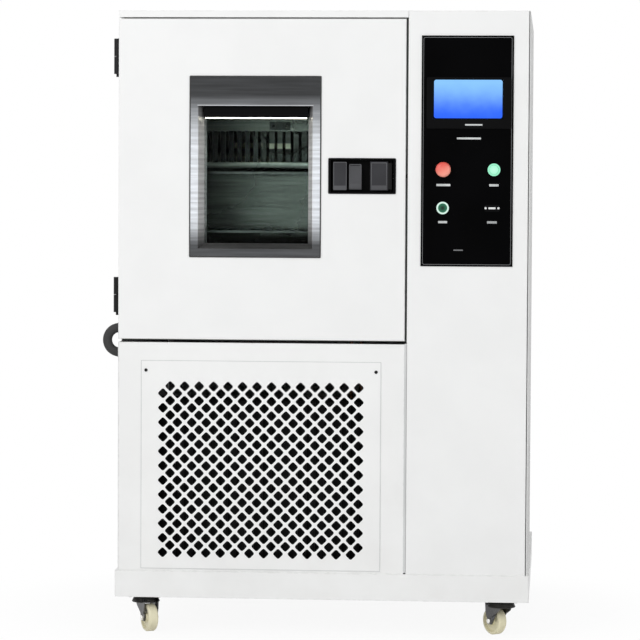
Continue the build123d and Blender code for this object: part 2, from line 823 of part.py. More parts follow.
def condenser_fan_shroud():
    """The fan shroud with its ring and the motor on its bracket."""
    centre = fan_centre()
    x, z = centre
    y0 = shroud_front
    opening = fan_radius + fan_clearance
    half = condenser_width / 2
    z1 = plinth_top + condenser_height + 2 * fin_rise
    plate = block(x - half, x + half, y0, y0 + sheet, plinth_top, z1)
    plate -= rod("y", y0 - 1, y0 + 2 * sheet, centre, opening)
    ring = rod("y", y0, y0 + fan_ring_depth, centre, opening + sheet)
    ring -= rod("y", y0 - 1, y0 + fan_ring_depth + 1, centre, opening)
    y1 = y0 + fan_bracket_depth
    strap = 3.0
    reach = opening + strap / 6
    bracket = block(x - reach - strap, x + reach + strap, y1, y1 + strap, z - 15, z + 15)
    arms = [block(x + a, x + a + strap, y0 + 1, y1 + strap, z - 15, z + 15) for a in (-reach - strap, reach)]
    motor = rod("y", y1 + strap, y1 + strap + 60, centre, fan_motor_radius)
    bore = rod("y", y1 - strap, y1 + strap + 30, centre, shaft_radius + fit)
    return plate + ring + bracket + arms + motor - bore


def condenser_fan():
    """The axial fan: four pitched blades on a hub and shaft."""
    centre = fan_centre()
    x, z = centre
    y0 = shroud_front
    r = fan_radius
    hub = rod("y", y0 + 10, y0 + 40, centre, fan_hub_radius)
    shaft = rod("y", y0 + 40, y0 + fan_bracket_depth + 27, centre, shaft_radius)
    root = fan_hub_radius - 6
    outline = Polyline((root, -22), (r - 6, -52), (r, 0), (r - 10, 46), (root, 22), close=True)
    blade = Rot(20, 0, 0) * Pos(0, 0, -1) * extrude(make_face(outline), 2)
    middle = Pos(x, y0 + 24, z) * Rot(90, 0, 0)
    blades = [middle * Rot(0, 0, 360 * n / fan_blades) * blade for n in range(fan_blades)]
    keep = rod("y", y0 - 20, y0 + fan_bracket_depth - 2, centre, r)
    return (hub + blades & keep) + shaft


def tube(points, radius, bend):
    """A bent tube of one radius through the given points."""
    path = FilletPolyline(*points, radius=bend)
    direction = Vector(*points[1]) - Vector(*points[0])
    return sweep(Plane(origin=points[0], z_dir=direction) * Circle(radius), path=path)


def refrigerant_pipes():
    """Discharge line to the condenser and the two lines up to the evaporator."""
    cx, cy = compressor_x, compressor_y
    side = condenser_end + pipe_side_run
    port = condenser_end + seat_gap
    coil_y = front + condenser_setback + condenser_depth / 2
    shell_top = plinth_top + compressor_height - 6
    high = shell_top - pipe_clearance + discharge_rise
    entry = plinth_top + discharge_level
    discharge = tube(
        [
            (cx + 60, cy, shell_top),
            (cx + 60, cy, high),
            (side, cy, high),
            (side, coil_y, high),
            (side, coil_y, entry),
            (port, coil_y, entry),
        ],
        pipe_radius,
        18,
    )
    level = space_z0 + pipe_level
    start = space_x1 - coil_right + fin_plate + seat_gap
    behind = insulation_rear + pipe_run
    suction_x, liquid_x = space_x1 - pipe_setbacks[0], space_x1 - pipe_setbacks[1]
    suction_y, liquid_y = duct_front + 62, duct_front + 30
    suction_z, liquid_z = plinth_top + suction_level, plinth_top + liquid_level
    suction = tube(
        [
            (start, suction_y, level),
            (suction_x, suction_y, level),
            (suction_x, behind, level),
            (suction_x, behind, suction_z),
            (suction_x, cy, suction_z),
            (cx + compressor_radius + seat_gap, cy, suction_z),
        ],
        pipe_radius,
        14,
    )
    liquid = tube(
        [
            (start, liquid_y, level),
            (liquid_x, liquid_y, level),
            (liquid_x, behind, level),
            (liquid_x, behind, liquid_z),
            (side, behind, liquid_z),
            (side, coil_y, liquid_z),
            (port, coil_y, liquid_z),
        ],
        pipe_radius,
        14,
    )
    return group(discharge, suction, liquid)


def service_connections():
    """Mains cable gland, drain spigot and water inlet, through the rear panel."""
    x, z = right - gland_inset, plinth_top + gland_rise
    nut = 8.0
    gland = prism_y(Pos(x, z) * RegularPolygon(gland_radius + 2.5, 6), rear, rear + nut)
    r, b = gland_radius, gland_bore
    gland += turned([(b, 0), (r, 0), (r, 12), (r - 3.5, 20), (b, 20)], x, rear + nut, z, Rot(-90, 0, 0))
    gland -= rod("y", rear - 1, rear + 40, (x, z), b)
    spigots = []
    for offset, radius in ((drain_left, drain_radius), (inlet_left, inlet_radius)):
        place = (left + offset, plinth_top + spigot_rise)
        spigot = prism_y(Pos(*place) * RegularPolygon(radius + 6, 6), rear, rear + 6)
        spigot += rod("y", rear + 6, rear + 28, place, radius)
        spigots.append(spigot - rod("y", rear - 1, rear + 40, place, radius - spigot_wall))
    return group(gland, *spigots)


def electrical_panel():
    """The mounting plate in the control column, with contactors, breaker and terminal rail."""
    x0 = partition_x + sheet + seat_gap
    x1 = x0 + board_sheet
    x2 = x1 + board_rail_depth
    z0 = plinth_top + board_rise
    pieces = [block(x0, x1, front + board_front, rear - board_rear, z0, z0 + board_height)]
    y0 = front + switchgear_inset
    for row, (count, width, height, depth) in enumerate(switchgear_rows):
        z = plinth_top + switchgear_rise - row * switchgear_pitch
        step = width + switchgear_gap
        half = board_rail_height / 2
        pieces.append(block(x1, x2, y0, y0 + count * step, z - half, z + half))
        for n in range(count):
            y = y0 + n * step
            pieces.append(block(x2, x2 + depth, y, y + width, z - height / 2, z + height / 2))
    return group(*pieces)


# Door

def door_skin():
    """The outer pan of the door, cut for the window, the handle and the claw."""
    skin = block(left, door_right, front, door_rear, door_bottom, door_top)
    skin = fillet(skin.faces().sort_by(Axis.Y)[0].edges(), door_edge_radius)
    x0, x1 = left + sheet, door_right - sheet
    skin -= block(x0, x1, front + sheet, door_rear + 1, door_bottom + sheet, door_top - sheet)
    x0, x1 = tunnel_x0 - seat_gap, tunnel_x1 + seat_gap
    skin -= block(x0, x1, front - 1, front + 3, tunnel_z0 - seat_gap, tunnel_z1 + seat_gap)
    h = handle_housing_box()
    skin -= block(h[0] - seat_gap, h[1] + seat_gap, front - 1, front + 3, h[2] - seat_gap, h[3] + seat_gap)
    y0, y1 = front + claw_sweep[0], front + claw_sweep[1]
    z0, z1 = handle_mid_z - claw_thickness, handle_mid_z + claw_thickness
    return skin - block(door_right - 2 * sheet, door_right + sheet, y0, y1, z0, z1)


def door_inner_pan():
    """The stainless inner face of the door with its raised plug, cut for the window."""
    t = liner_sheet
    g = sheet + seat_gap
    flange = block(left + g, door_right - g, door_rear - t, door_rear, door_bottom + g, door_top - g)
    c = plug_clearance
    plug = block(space_x0 + c, space_x1 - c, door_rear - t, plug_rear, space_z0 + c, space_z1 - c)
    plug = fillet(plug.faces().sort_by(Axis.Y)[-1].edges(), plug_edge_radius)
    c += t
    inner = block(space_x0 + c, space_x1 - c, door_rear - t - 1, plug_rear - t, space_z0 + c, space_z1 - c)
    inner = fillet(inner.faces().sort_by(Axis.Y)[-1].edges(), plug_edge_radius - t)
    x0, x1, z0, z1 = tube_box()
    window = block(x0 - seat_gap, x1 + seat_gap, door_rear - 5, plug_rear + 1, z0 - seat_gap, z1 + seat_gap)
    return flange + plug - inner - window


def tube_box():
    """Outline of the straight window tube behind the sloping reveal."""
    slope = window_slope
    return tunnel_x0 + slope, tunnel_x1 - slope, tunnel_z0 + slope, tunnel_z1 - slope


def door_insulation():
    """The fill between the door's pans, open for the window and the handle."""
    t = sheet + seat_gap
    y1 = door_rear - liner_sheet - seat_gap
    fill = block(left + t, door_right - t, front + t, y1, door_bottom + t, door_top - t)
    c = plug_clearance + liner_sheet + seat_gap
    plug = block(
        space_x0 + c, space_x1 - c, front + t, plug_rear - liner_sheet - seat_gap, space_z0 + c, space_z1 - c
    )
    fill += fillet(plug.faces().sort_by(Axis.Y)[-1].edges(), plug_edge_radius - liner_sheet)
    fill -= block(
        tunnel_x0 - seat_gap,
        tunnel_x1 + seat_gap,
        front,
        front + window_recess + 3,
        tunnel_z0 - seat_gap,
        tunnel_z1 + seat_gap,
    )
    x0, x1, z0, z1 = tube_box()
    fill -= block(x0 - seat_gap, x1 + seat_gap, front, plug_rear + 1, z0 - seat_gap, z1 + seat_gap)
    fill -= block(
        handle_x0 - 4, door_right, front, door_rear, handle_bottom - 4, handle_bottom + handle_height + 4
    )
    return fill


def door_gasket():
    """The silicone gasket round the plug, just clear of the jamb."""
    inner = 12.0
    y0, y1 = door_rear, jamb - seat_gap
    x0, x1 = space_x0 - inner, space_x1 + inner
    z0, z1 = space_z0 - inner, space_z1 + inner
    w = gasket_width
    ring = block(x0 - w, x1 + w, y0, y1, z0 - w, z1 + w)
    ring = fillet(ring.edges().filter_by(Axis.Y), w)
    return ring - block(x0, x1, y0 - 1, y1 + 1, z0, z1)


def window_frame():
    """The stainless window frame: flange, sloping reveal, lamp band and the tube that holds the panes."""
    flange = block(window_x0, window_x1, front - sheet, front, window_z0, window_z1)
    y0, y1 = front, front + window_recess
    x0, x1, z0, z1 = tunnel_x0, tunnel_x1, tunnel_z0, tunnel_z1
    a0, a1, b0, b1 = tube_box()
    outer = funnel((x0, x1, z0, z1), (a0, a1, b0, b1), y0, y1)
    t = sheet
    inner = funnel((x0 + t, x1 - t, z0 + t, z1 - t), (a0 + t, a1 - t, b0 + t, b1 - t), y0, y1)
    straight = block(a0, a1, y1, plug_rear, b0, b1)
    straight -= block(a0 + t, a1 - t, y1 - 1, plug_rear + 1, b0 + t, b1 - t)
    opening = block(x0 + t, x1 - t, front - 5, front + 1, z0 + t, z1 - t)
    frame = flange + outer - opening - inner + straight
    y0 = front + lamp_band_setback
    a0, a1 = tunnel_x0 + lamp_band_inset, tunnel_x1 - lamp_band_inset
    return frame + block(a0, a1, y0, y0 + t, tunnel_z1 - lamp_band_height, tunnel_z1 - lamp_band_inset + 0.5)


def funnel(front_box, rear_box, y0, y1):
    """A loft between two upright rectangles."""
    faces = []
    for (x0, x1, z0, z1), y in ((front_box, y0), (rear_box, y1)):
        plane = Plane(origin=(0, y, 0), x_dir=(1, 0, 0), z_dir=(0, -1, 0))
        faces.append(plane * rectangle(x0, x1, z0, z1))
    return loft(faces)


def window_glass():
    """Three panes held in the window tube."""
    x0, x1, z0, z1 = tube_box()
    g = sheet + seat_gap
    first = front + window_recess + 0.5
    last = plug_rear - 2.0 - pane_thickness
    places = (first, (first + last) / 2, last)
    return group(*[block(x0 + g, x1 - g, y, y + pane_thickness, z0 + g, z1 - g) for y in places])


def lamp_bar_box():
    """Outline of the lamp housing under the band."""
    x0, x1, _, _ = tube_box()
    z1 = tunnel_z1 - lamp_band_height - seat_gap
    return x0 + sheet + seat_gap, x1 - sheet - seat_gap, z1 - lamp_bar_height, z1


def lamp_housing():
    """The black lamp bar under the band, hollow on its underside."""
    x0, x1, z0, z1 = lamp_bar_box()
    y0 = front + lamp_bar_setback
    w = lamp_bar_wall
    bar = block(x0, x1, y0, y0 + lamp_bar_depth, z0, z1)
    bar = fillet(bar.faces().sort_by(Axis.Y)[0].edges().filter_by(Axis.X), w - 1)
    return bar - block(x0 + w, x1 - w, y0 + w - 1, y0 + lamp_bar_depth - w / 2, z0 - 1, z0 + 1.5 * w)


def lamp_tube():
    """The lamp tube in the bar's underside."""
    x0, x1, z0, _ = lamp_bar_box()
    w = lamp_bar_wall + seat_gap
    centre = (front + lamp_bar_setback + (lamp_bar_depth + 1) / 2, z0 + 1.5)
    return rod("x", x0 + w, x1 - w, centre, lamp_radius)


def handle_housing_box():
    """Outline of the handle housing behind its rim."""
    return handle_x0 + 4, handle_x0 + handle_width - 4, handle_bottom + 2, handle_bottom + handle_height - 2


def latch_housing():
    """The black handle pocket with its rim, the lock block and the lever's pin."""
    x0, x1, z0, z1 = handle_housing_box()
    w = handle_wall
    handle_x1, handle_top = handle_x0 + handle_width, handle_bottom + handle_height
    rim = block(handle_x0, handle_x1, front - handle_rim, front, handle_bottom, handle_top)
    rim = fillet(rim.edges().filter_by(Axis.Y), 3)
    body = block(x0, x1, front, front + handle_depth, z0, z1)
    cavity = block(x0 + w, x1 - w, front - 5, front + handle_depth - w, z0 + w, z1 - w)
    y1 = front + handle_depth + 1
    half = claw_thickness / 2 + 2
    claw_slot = block(pivot_x - 16, x1 + 1, pivot_y - 1, y1, handle_mid_z - half, handle_mid_z + half)
    cup = rim + body - cavity - claw_slot
    cup -= rod("y", front + 20, y1, button_centre(), 4 + fit)
    lock = block(
        handle_x0 + lock_left,
        handle_x0 + lock_left + lock_width,
        front + 1,
        front + handle_depth - w,
        handle_mid_z - lock_height / 2,
        handle_mid_z + lock_height / 2,
    )
    lock = chamfer(lock.faces().sort_by(Axis.Y)[0].edges(), 3)
    pin = rod("z", z0 + w, z1 - w, (pivot_x, pivot_y), pivot_radius)
    return group(cup, lock, pin)


def button_centre():
    """Centre of the push button in the handle."""
    return handle_x0 + button_left + button_width / 2, handle_mid_z - 4


def latch_button():
    """The push button in the handle, with its guide stem."""
    x, z = button_centre()
    half_w, half_h = button_width / 2, button_height / 2
    cap = block(x - half_w, x + half_w, front - 1, front + 9, z - half_h, z + half_h)
    cap = chamfer(cap.faces().sort_by(Axis.Y)[0].edges(), 1.5)
    stem = rod("y", front + 9, front + handle_depth + 2, (x, z), 4)
    return cap + stem


def latch_lever():
    """The pull lever with its hub and the claw that draws the door in."""
    x0 = handle_x0 + lever_left
    y0 = front + 1.0
    z0, z1 = handle_mid_z - lever_height / 2, handle_mid_z + lever_height / 2
    plate = block(x0, x0 + lever_width, y0, y0 + lever_thickness, z0, z1)
    plate = chamfer(plate.faces().sort_by(Axis.Y)[0].edges(), 2)
    web = block(x0 + lever_width - 8, pivot_x, y0 + 1, y0 + lever_thickness, z0 + 4, z1 - 4)
    hub = rod("z", z0 + 4, z1 - 4, (pivot_x, pivot_y), hub_radius)
    half = claw_thickness / 2
    outline = [
        (pivot_x - 4, pivot_y),
        (pivot_x + 4, pivot_y),
        (pivot_x + 8, pivot_y + claw_depth - 16),
        (pivot_x + claw_reach - 12, pivot_y + claw_depth - 7),
        (pivot_x + claw_reach, pivot_y + claw_depth - 4),
        (pivot_x + claw_reach, pivot_y + claw_depth),
        (pivot_x, pivot_y + claw_depth),
    ]
    claw = prism_z(outline, handle_mid_z - half, handle_mid_z + half)
    bore = rod("z", z0, z1, (pivot_x, pivot_y), pivot_radius + fit)
    return plate + web + hub + claw - bore


def latch_strike():
    """The strike plate inside the column's edge, with the window that the claw enters."""
    x0 = column_left + sheet + seat_gap
    plate = block(x0, x0 + 3, front + 8, front + 62, handle_mid_z - 30, handle_mid_z + 30)
    y0, y1 = front + claw_sweep[0], front + claw_sweep[1]
    window = block(x0 - 1, x0 + 4, y0, y1 - 4, handle_mid_z - 8, handle_mid_z + 8)
    return plate - window


def hinge_leaf_plate(y0, y1, z0, z1):
    """A leaf on the side of the door or cabinet."""
    return block(left - hinge_leaf, left, y0, y1, z0, z1)


def hinge_door_halves():
    """Upper knuckles with the leaves on the door's edge."""
    halves = []
    for z_top in (upper_hinge_top, lower_hinge_top):
        z0 = z_top - knuckle_length
        knuckle = rod("z", z0, z_top, (hinge_x, hinge_y), knuckle_radius)
        leaf = hinge_leaf_plate(hinge_y - 2.5 - hinge_leaf_width, hinge_y - 2.5, z0, z_top)
        arm = block(hinge_x, left, hinge_y - knuckle_radius, hinge_y - 2.5, z0, z_top)
        bore = rod("z", z0 - 1, z_top - 6, (hinge_x, hinge_y), hinge_pin_radius + fit)
        halves.append(knuckle + arm + leaf - bore)
    return group(*halves)


def hinge_cabinet_halves():
    """Lower knuckles with their pins and the leaves on the cabinet's side."""
    halves = []
    for z_top in (upper_hinge_top, lower_hinge_top):
        z1 = z_top - knuckle_length - knuckle_gap
        z0 = z1 - knuckle_length
        knuckle = rod("z", z0, z1, (hinge_x, hinge_y), knuckle_radius)
        leaf = hinge_leaf_plate(hinge_y + 2.5, hinge_y + 2.5 + hinge_leaf_width, z0, z1)
        arm = block(hinge_x, left, hinge_y + 2.5, hinge_y + knuckle_radius, z0, z1)
        pin = rod("z", z0 - 8, z_top - 8, (hinge_x, hinge_y), hinge_pin_radius)
        halves.append(knuckle + arm + leaf + pin)
    return group(*halves)


def door_conduit():
    """The cable conduit that loops from the door's edge to the cabinet's side."""
    y = front + conduit_inset
    z = (door_bottom + lower_top) / 2
    ring = Pos(left, y, z) * Rot(90, 0, 0) * Torus(conduit_bend, conduit_radius)
    loop = ring & block(left - 100, left, y - 50, y + 50, z - 100, z + 100)
    ferrules = []
    for side in (-1, 1):
        centre = z + side * conduit_bend
        collar = rod("x", left - 4, left, (y, centre), conduit_radius + 4)
        ferrules.append(collar - ring)
    return group(loop, *ferrules)


# Control panel

def panel_x(offset):
    """A place on the control column, from the left side of the body."""
    return left + offset


def control_panel_plate():
    """The black control plate, cut for the screen and the controls."""
    x0, z0 = panel_x(panel_left), panel_bottom
    plate = block(x0, x0 + panel_width, front - panel_plate, front, z0, z0 + panel_height)
    plate = chamfer(plate.faces().sort_by(Axis.Y)[0].edges(), 1)
    s0 = panel_x(bezel_left) + 6
    plate -= block(
        s0, s0 + bezel_width - 12, front - 9, front + 1, bezel_bottom + 6, bezel_bottom + bezel_height - 6
    )
    for x, z in ((stop_x, stop_z), (start_x, start_z), (light_x, light_z)):
        plate -= rod("y", front - 9, front + 1, (panel_x(x), z), control_hole_radius + seat_gap)
    plate -= block(panel_x(port_x) - 9, panel_x(port_x) + 9, front - 9, front + 1, port_z - 6, port_z + 6)
    return plate


def touch_screen():
    """The touch screen unit: bezel, housing through the plate and the display recess."""
    x0, z0 = panel_x(bezel_left), bezel_bottom
    y1 = front - panel_plate
    bezel = block(x0, x0 + bezel_width, y1 - bezel_thickness, y1, z0, z0 + bezel_height)
    bezel = fillet(bezel.edges().filter_by(Axis.Y), 6)
    bezel = chamfer(bezel.faces().sort_by(Axis.Y)[0].edges(), 1.5)
    g = 6 + seat_gap
    housing = block(x0 + g, x0 + bezel_width - g, y1, front + 34, z0 + g, z0 + bezel_height - g)
    d0 = panel_x(display_left)
    d1, display_top = d0 + display_width, display_bottom + display_height
    return bezel + housing - block(d0, d1, y1 - bezel_thickness - 1, y1 - 2, display_bottom, display_top)


def screen_glass():
    """The display glass in the screen's recess."""
    d0 = panel_x(display_left) + seat_gap
    d1 = d0 + display_width - 2 * seat_gap
    y1 = front - panel_plate - 2
    y0 = front - panel_plate - bezel_thickness + 0.8
    return block(d0, d1, y0, y1, display_bottom + seat_gap, display_bottom + display_height - seat_gap)


def button_bodies():
    """Collars and switch blocks of the three buttons, and the capped data port."""
    pieces = []
    y1 = front - panel_plate
    for x, z in ((stop_x, stop_z), (start_x, start_z), (light_x, light_z)):
        px = panel_x(x)
        r, h = collar_radius, collar_height
        collar = turned([(0, 0), (r, 0), (r, h / 2), (r - 2, h), (0, h)], px, y1, z, Rot(90, 0, 0))
        y2 = front + control_barrel
        barrel = rod("y", y1, y2, (px, z), control_hole_radius)
        a, b = switch_width / 2, switch_height / 2
        switch = block(px - a, px + a, y2, y2 + switch_depth, z - b, z + b)
        bore_radius = 8.0 if (x, z) == (stop_x, stop_z) else cap_radius
        bore = rod("y", y1 - h - 1, y2 - 10, (px, z), control_hole_radius - 2)
        mouth = rod("y", y1 - h - 1, y1 - 0.5, (px, z), bore_radius + fit)
        pieces.append(collar + barrel + switch - bore - mouth)
    px = panel_x(port_x)
    a, b = port_width / 2, port_plate_height / 2
    plate = block(px - a, px + a, y1 - 2, y1, port_z - b, port_z + b)
    plate = fillet(plate.edges().filter_by(Axis.Y), 4)
    cap = block(px - 9, px + 9, y1 - 4, y1 - 2, port_z - 4, port_z + 4)
    g = seat_gap
    socket = block(px - 9 + g, px + 9 - g, y1, front + 15, port_z - 6 + g, port_z + 6 - g)
    pieces.append(plate + cap + socket)
    return group(*pieces)


def emergency_stop():
    """The mushroom button, proud of its collar."""
    y1 = front - panel_plate - 6
    r = stop_radius
    profile = [(0, -10), (8, -10), (8, 6), (r - 6, 6), (r, 10), (r, 14), (r - 3, 19), (r - 9, 22), (0, 24)]
    return turned(profile, panel_x(stop_x), y1 - 1, stop_z, Rot(90, 0, 0))


def push_button(x, z):
    """A flush push button in its collar."""
    y1 = front - panel_plate - 6
    base = -5 + seat_gap + press_travel
    profile = [(0, base), (cap_radius, base), (cap_radius, 3.5), (cap_radius - 1.5, 5), (0, 5)]
    return turned(profile, panel_x(x), y1, z, Rot(90, 0, 0))


# Casters

def caster_positions():
    """Swivel centres, front pair first."""
    x0, x1 = left + caster_inset_x, right - caster_inset_x
    y0, y1 = front + caster_inset_y, rear - caster_inset_y
    return [(x0, y0), (x1, y0), (x0, y1), (x1, y1)]


def caster_plates():
    """The four bolted top plates with their swivel races."""
    plates = []
    for x, y in caster_positions():
        a, b = caster_plate_length / 2, caster_plate_width / 2
        z = caster_height - caster_plate
        plate = block(x - a, x + a, y - b, y + b, z, caster_height)
        race = turned([(0, 0), (24, 0), (27, 5), (0, 5)], x, y, z - 5)
        king_pin = rod("z", z - 21, z, (x, y), 6)
        plates.append(plate + race + king_pin)
    return group(*plates)


def caster_fork(x, y, turn):
    """A swivel fork: crown, two tapering legs and the axle."""
    half = wheel_width / 2 + 3
    crown_z = caster_height - caster_plate - 5 - seat_gap
    reach = caster_trail + 11
    crown_top = crown_z
    crown = Pos(0, 0, crown_top - 4) * Cylinder(25, 8)
    arch = block(-22, caster_trail, -half - fork_sheet, half + fork_sheet, crown_top - 8, crown_top - 5)
    legs = []
    for side in (-1, 1):
        y0 = half if side > 0 else -half - fork_sheet
        outline = Polyline(
            (-20, crown_top - 5),
            (caster_trail, crown_top - 5),
            (reach, wheel_radius + 4),
            (reach - 3, wheel_radius - 9),
            (caster_trail - 8, wheel_radius - 9),
            close=True,
        )
        plane = Plane(origin=(0, y0 + fork_sheet, 0), x_dir=(1, 0, 0), z_dir=(0, -1, 0))
        legs.append(extrude(plane * make_face(outline), fork_sheet))
    axle = Cylinder(axle_radius, 2 * (half + fork_sheet + 3))
    axle = Pos(caster_trail, 0, wheel_radius) * Rot(90, 0, 0) * axle
    bore = Pos(0, 0, crown_top - 6) * Cylinder(6 + fit, 40)
    fork = crown + arch + legs - bore + axle
    return Pos(x, y, 0) * Rot(0, 0, turn) * fork


def caster_wheel(x, y, turn):
    """A wheel with a crowned tread and a recessed hub."""
    r, h = wheel_radius, wheel_width / 2
    profile = [
        (axle_radius + fit, -h),
        (11, -h),
        (13, -h + 5),
        (r - 9, -h + 5),
        (r - 8, -h),
        (r - 3, -h),
        (r, -h + 4),
        (r, h - 4),
        (r - 3, h),
        (r - 8, h),
        (r - 9, h - 5),
        (13, h - 5),
        (11, h),
        (axle_radius + fit, h),
    ]
    wheel = Pos(caster_trail, 0, r) * Rot(90, 0, 0) * revolve(
        Plane.XZ * make_face(Polyline(*profile, close=True)), Axis.Z
    )
    return Pos(x, y, 0) * Rot(0, 0, turn) * wheel


def build():
    """Every node by name."""
    nodes = {
        "base_plinth": base_plinth(),
        "left_side_panel": left_side_panel(),
        "right_side_panel": right_side_panel(),
        "top_cover": top_cover(),
        "rear_panel": rear_panel(),
        "inner_bulkheads": inner_bulkheads(),
        "control_column_front": control_column_front(),
        "lower_front_frame": lower_front_frame(),
        "vent_grille_panel": vent_grille_panel(),
        "cover_screws": cover_screws(),
        "chamber_liner": chamber_liner(),
        "chamber_insulation": chamber_insulation(),
        "air_duct_panel": air_duct_panel(),
        "heater_coil": heater_coil(),
        "evaporator": evaporator(),
        "humidifier_pan": humidifier_pan(),
        "shelf_rails": shelf_rails(),
        "wire_shelves": wire_shelves(),
        "sensor_probes": sensor_probes(),
        "port_plug": port_plug(),
        "blower_motor": blower_motor(),
        "blower_wheel": blower_wheel(),
        "compressor": compressor(),
        "condenser": condenser(),
        "condenser_fan_shroud": condenser_fan_shroud(),
        "condenser_fan": condenser_fan(),
        "refrigerant_pipes": refrigerant_pipes(),
        "service_connections": service_connections(),
        "electrical_panel": electrical_panel(),
        "door_skin": door_skin(),
        "door_inner_pan": door_inner_pan(),
        "door_insulation": door_insulation(),
        "door_gasket": door_gasket(),
        "window_frame": window_frame(),
        "window_glass": window_glass(),
        "lamp_housing": lamp_housing(),
        "lamp_tube": lamp_tube(),
        "latch_housing": latch_housing(),
        "latch_button": latch_button(),
        "latch_lever": latch_lever(),
        "latch_strike": latch_strike(),
        "hinge_door_halves": hinge_door_halves(),
        "hinge_cabinet_halves": hinge_cabinet_halves(),
        "door_conduit": door_conduit(),
        "control_panel_plate": control_panel_plate(),
        "touch_screen": touch_screen(),
        "screen_glass": screen_glass(),
        "button_bodies": button_bodies(),
        "emergency_stop": emergency_stop(),
        "start_button": push_button(start_x, start_z),
        "light_button": push_button(light_x, light_z),
        "caster_plates": caster_plates(),
    }
    names = ("front_left", "front_right", "rear_left", "rear_right")
    for name, (x, y), turn in zip(names, caster_positions(), caster_turns):
        nodes["caster_fork_" + name] = caster_fork(x, y, turn)
        nodes["caster_wheel_" + name] = caster_wheel(x, y, turn)
    return nodes


os.makedirs("parts", exist_ok=True)
for name, shape in build().items():
    export_step(shape, "parts/" + name + ".step")
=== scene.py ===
import json
import logging
import math
from collections.abc import Callable
from dataclasses import dataclass
from enum import Enum
from functools import cache

import bmesh
import bpy
from mathutils import Matrix, Vector


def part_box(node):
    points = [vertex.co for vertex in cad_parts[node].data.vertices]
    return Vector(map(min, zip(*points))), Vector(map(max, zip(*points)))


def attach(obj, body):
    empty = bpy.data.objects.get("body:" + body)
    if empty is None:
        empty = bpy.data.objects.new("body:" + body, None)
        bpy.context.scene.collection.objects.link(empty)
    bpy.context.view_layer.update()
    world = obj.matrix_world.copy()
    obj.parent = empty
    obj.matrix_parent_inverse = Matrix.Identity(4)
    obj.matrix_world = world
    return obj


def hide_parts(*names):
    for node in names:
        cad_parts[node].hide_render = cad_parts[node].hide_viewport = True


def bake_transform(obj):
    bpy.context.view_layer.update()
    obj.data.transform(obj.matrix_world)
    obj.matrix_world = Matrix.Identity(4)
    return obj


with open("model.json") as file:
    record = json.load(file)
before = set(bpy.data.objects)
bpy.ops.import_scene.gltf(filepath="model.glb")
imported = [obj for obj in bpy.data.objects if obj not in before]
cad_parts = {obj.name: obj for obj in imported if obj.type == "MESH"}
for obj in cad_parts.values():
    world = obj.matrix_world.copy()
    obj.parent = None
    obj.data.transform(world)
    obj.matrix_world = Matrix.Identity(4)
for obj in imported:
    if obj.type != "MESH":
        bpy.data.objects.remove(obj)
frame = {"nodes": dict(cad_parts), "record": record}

LOG = logging.getLogger("test_chamber")
MM = 0.001
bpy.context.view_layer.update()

Colour = tuple[float, float, float]
Point = tuple[float, float, float]
Outline = list[tuple[float, float]]
Piece = bpy.types.Object
Socket = bpy.types.NodeSocket

UNLIT: Colour = (0.0, 0.0, 0.0)
BRIGHT: Colour = (1.0, 1.0, 1.0)
CORNERS = ("front_left", "front_right", "rear_left", "rear_right")
SIDES = (("inner", 1.0), ("outer", -1.0))


class Kind(Enum):
    """The families of finish that the chamber's surfaces belong to."""

    PAINT = "powder coated sheet"
    BRUSHED = "brushed or plated metal"
    MOULDED = "moulded plastic"
    SOFT = "rubber, silicone or fibre"


# Node helpers


def rgba(colour: Colour) -> tuple[float, float, float, float]:
    """Adds a full alpha to a colour."""
    return (colour[0], colour[1], colour[2], 1.0)


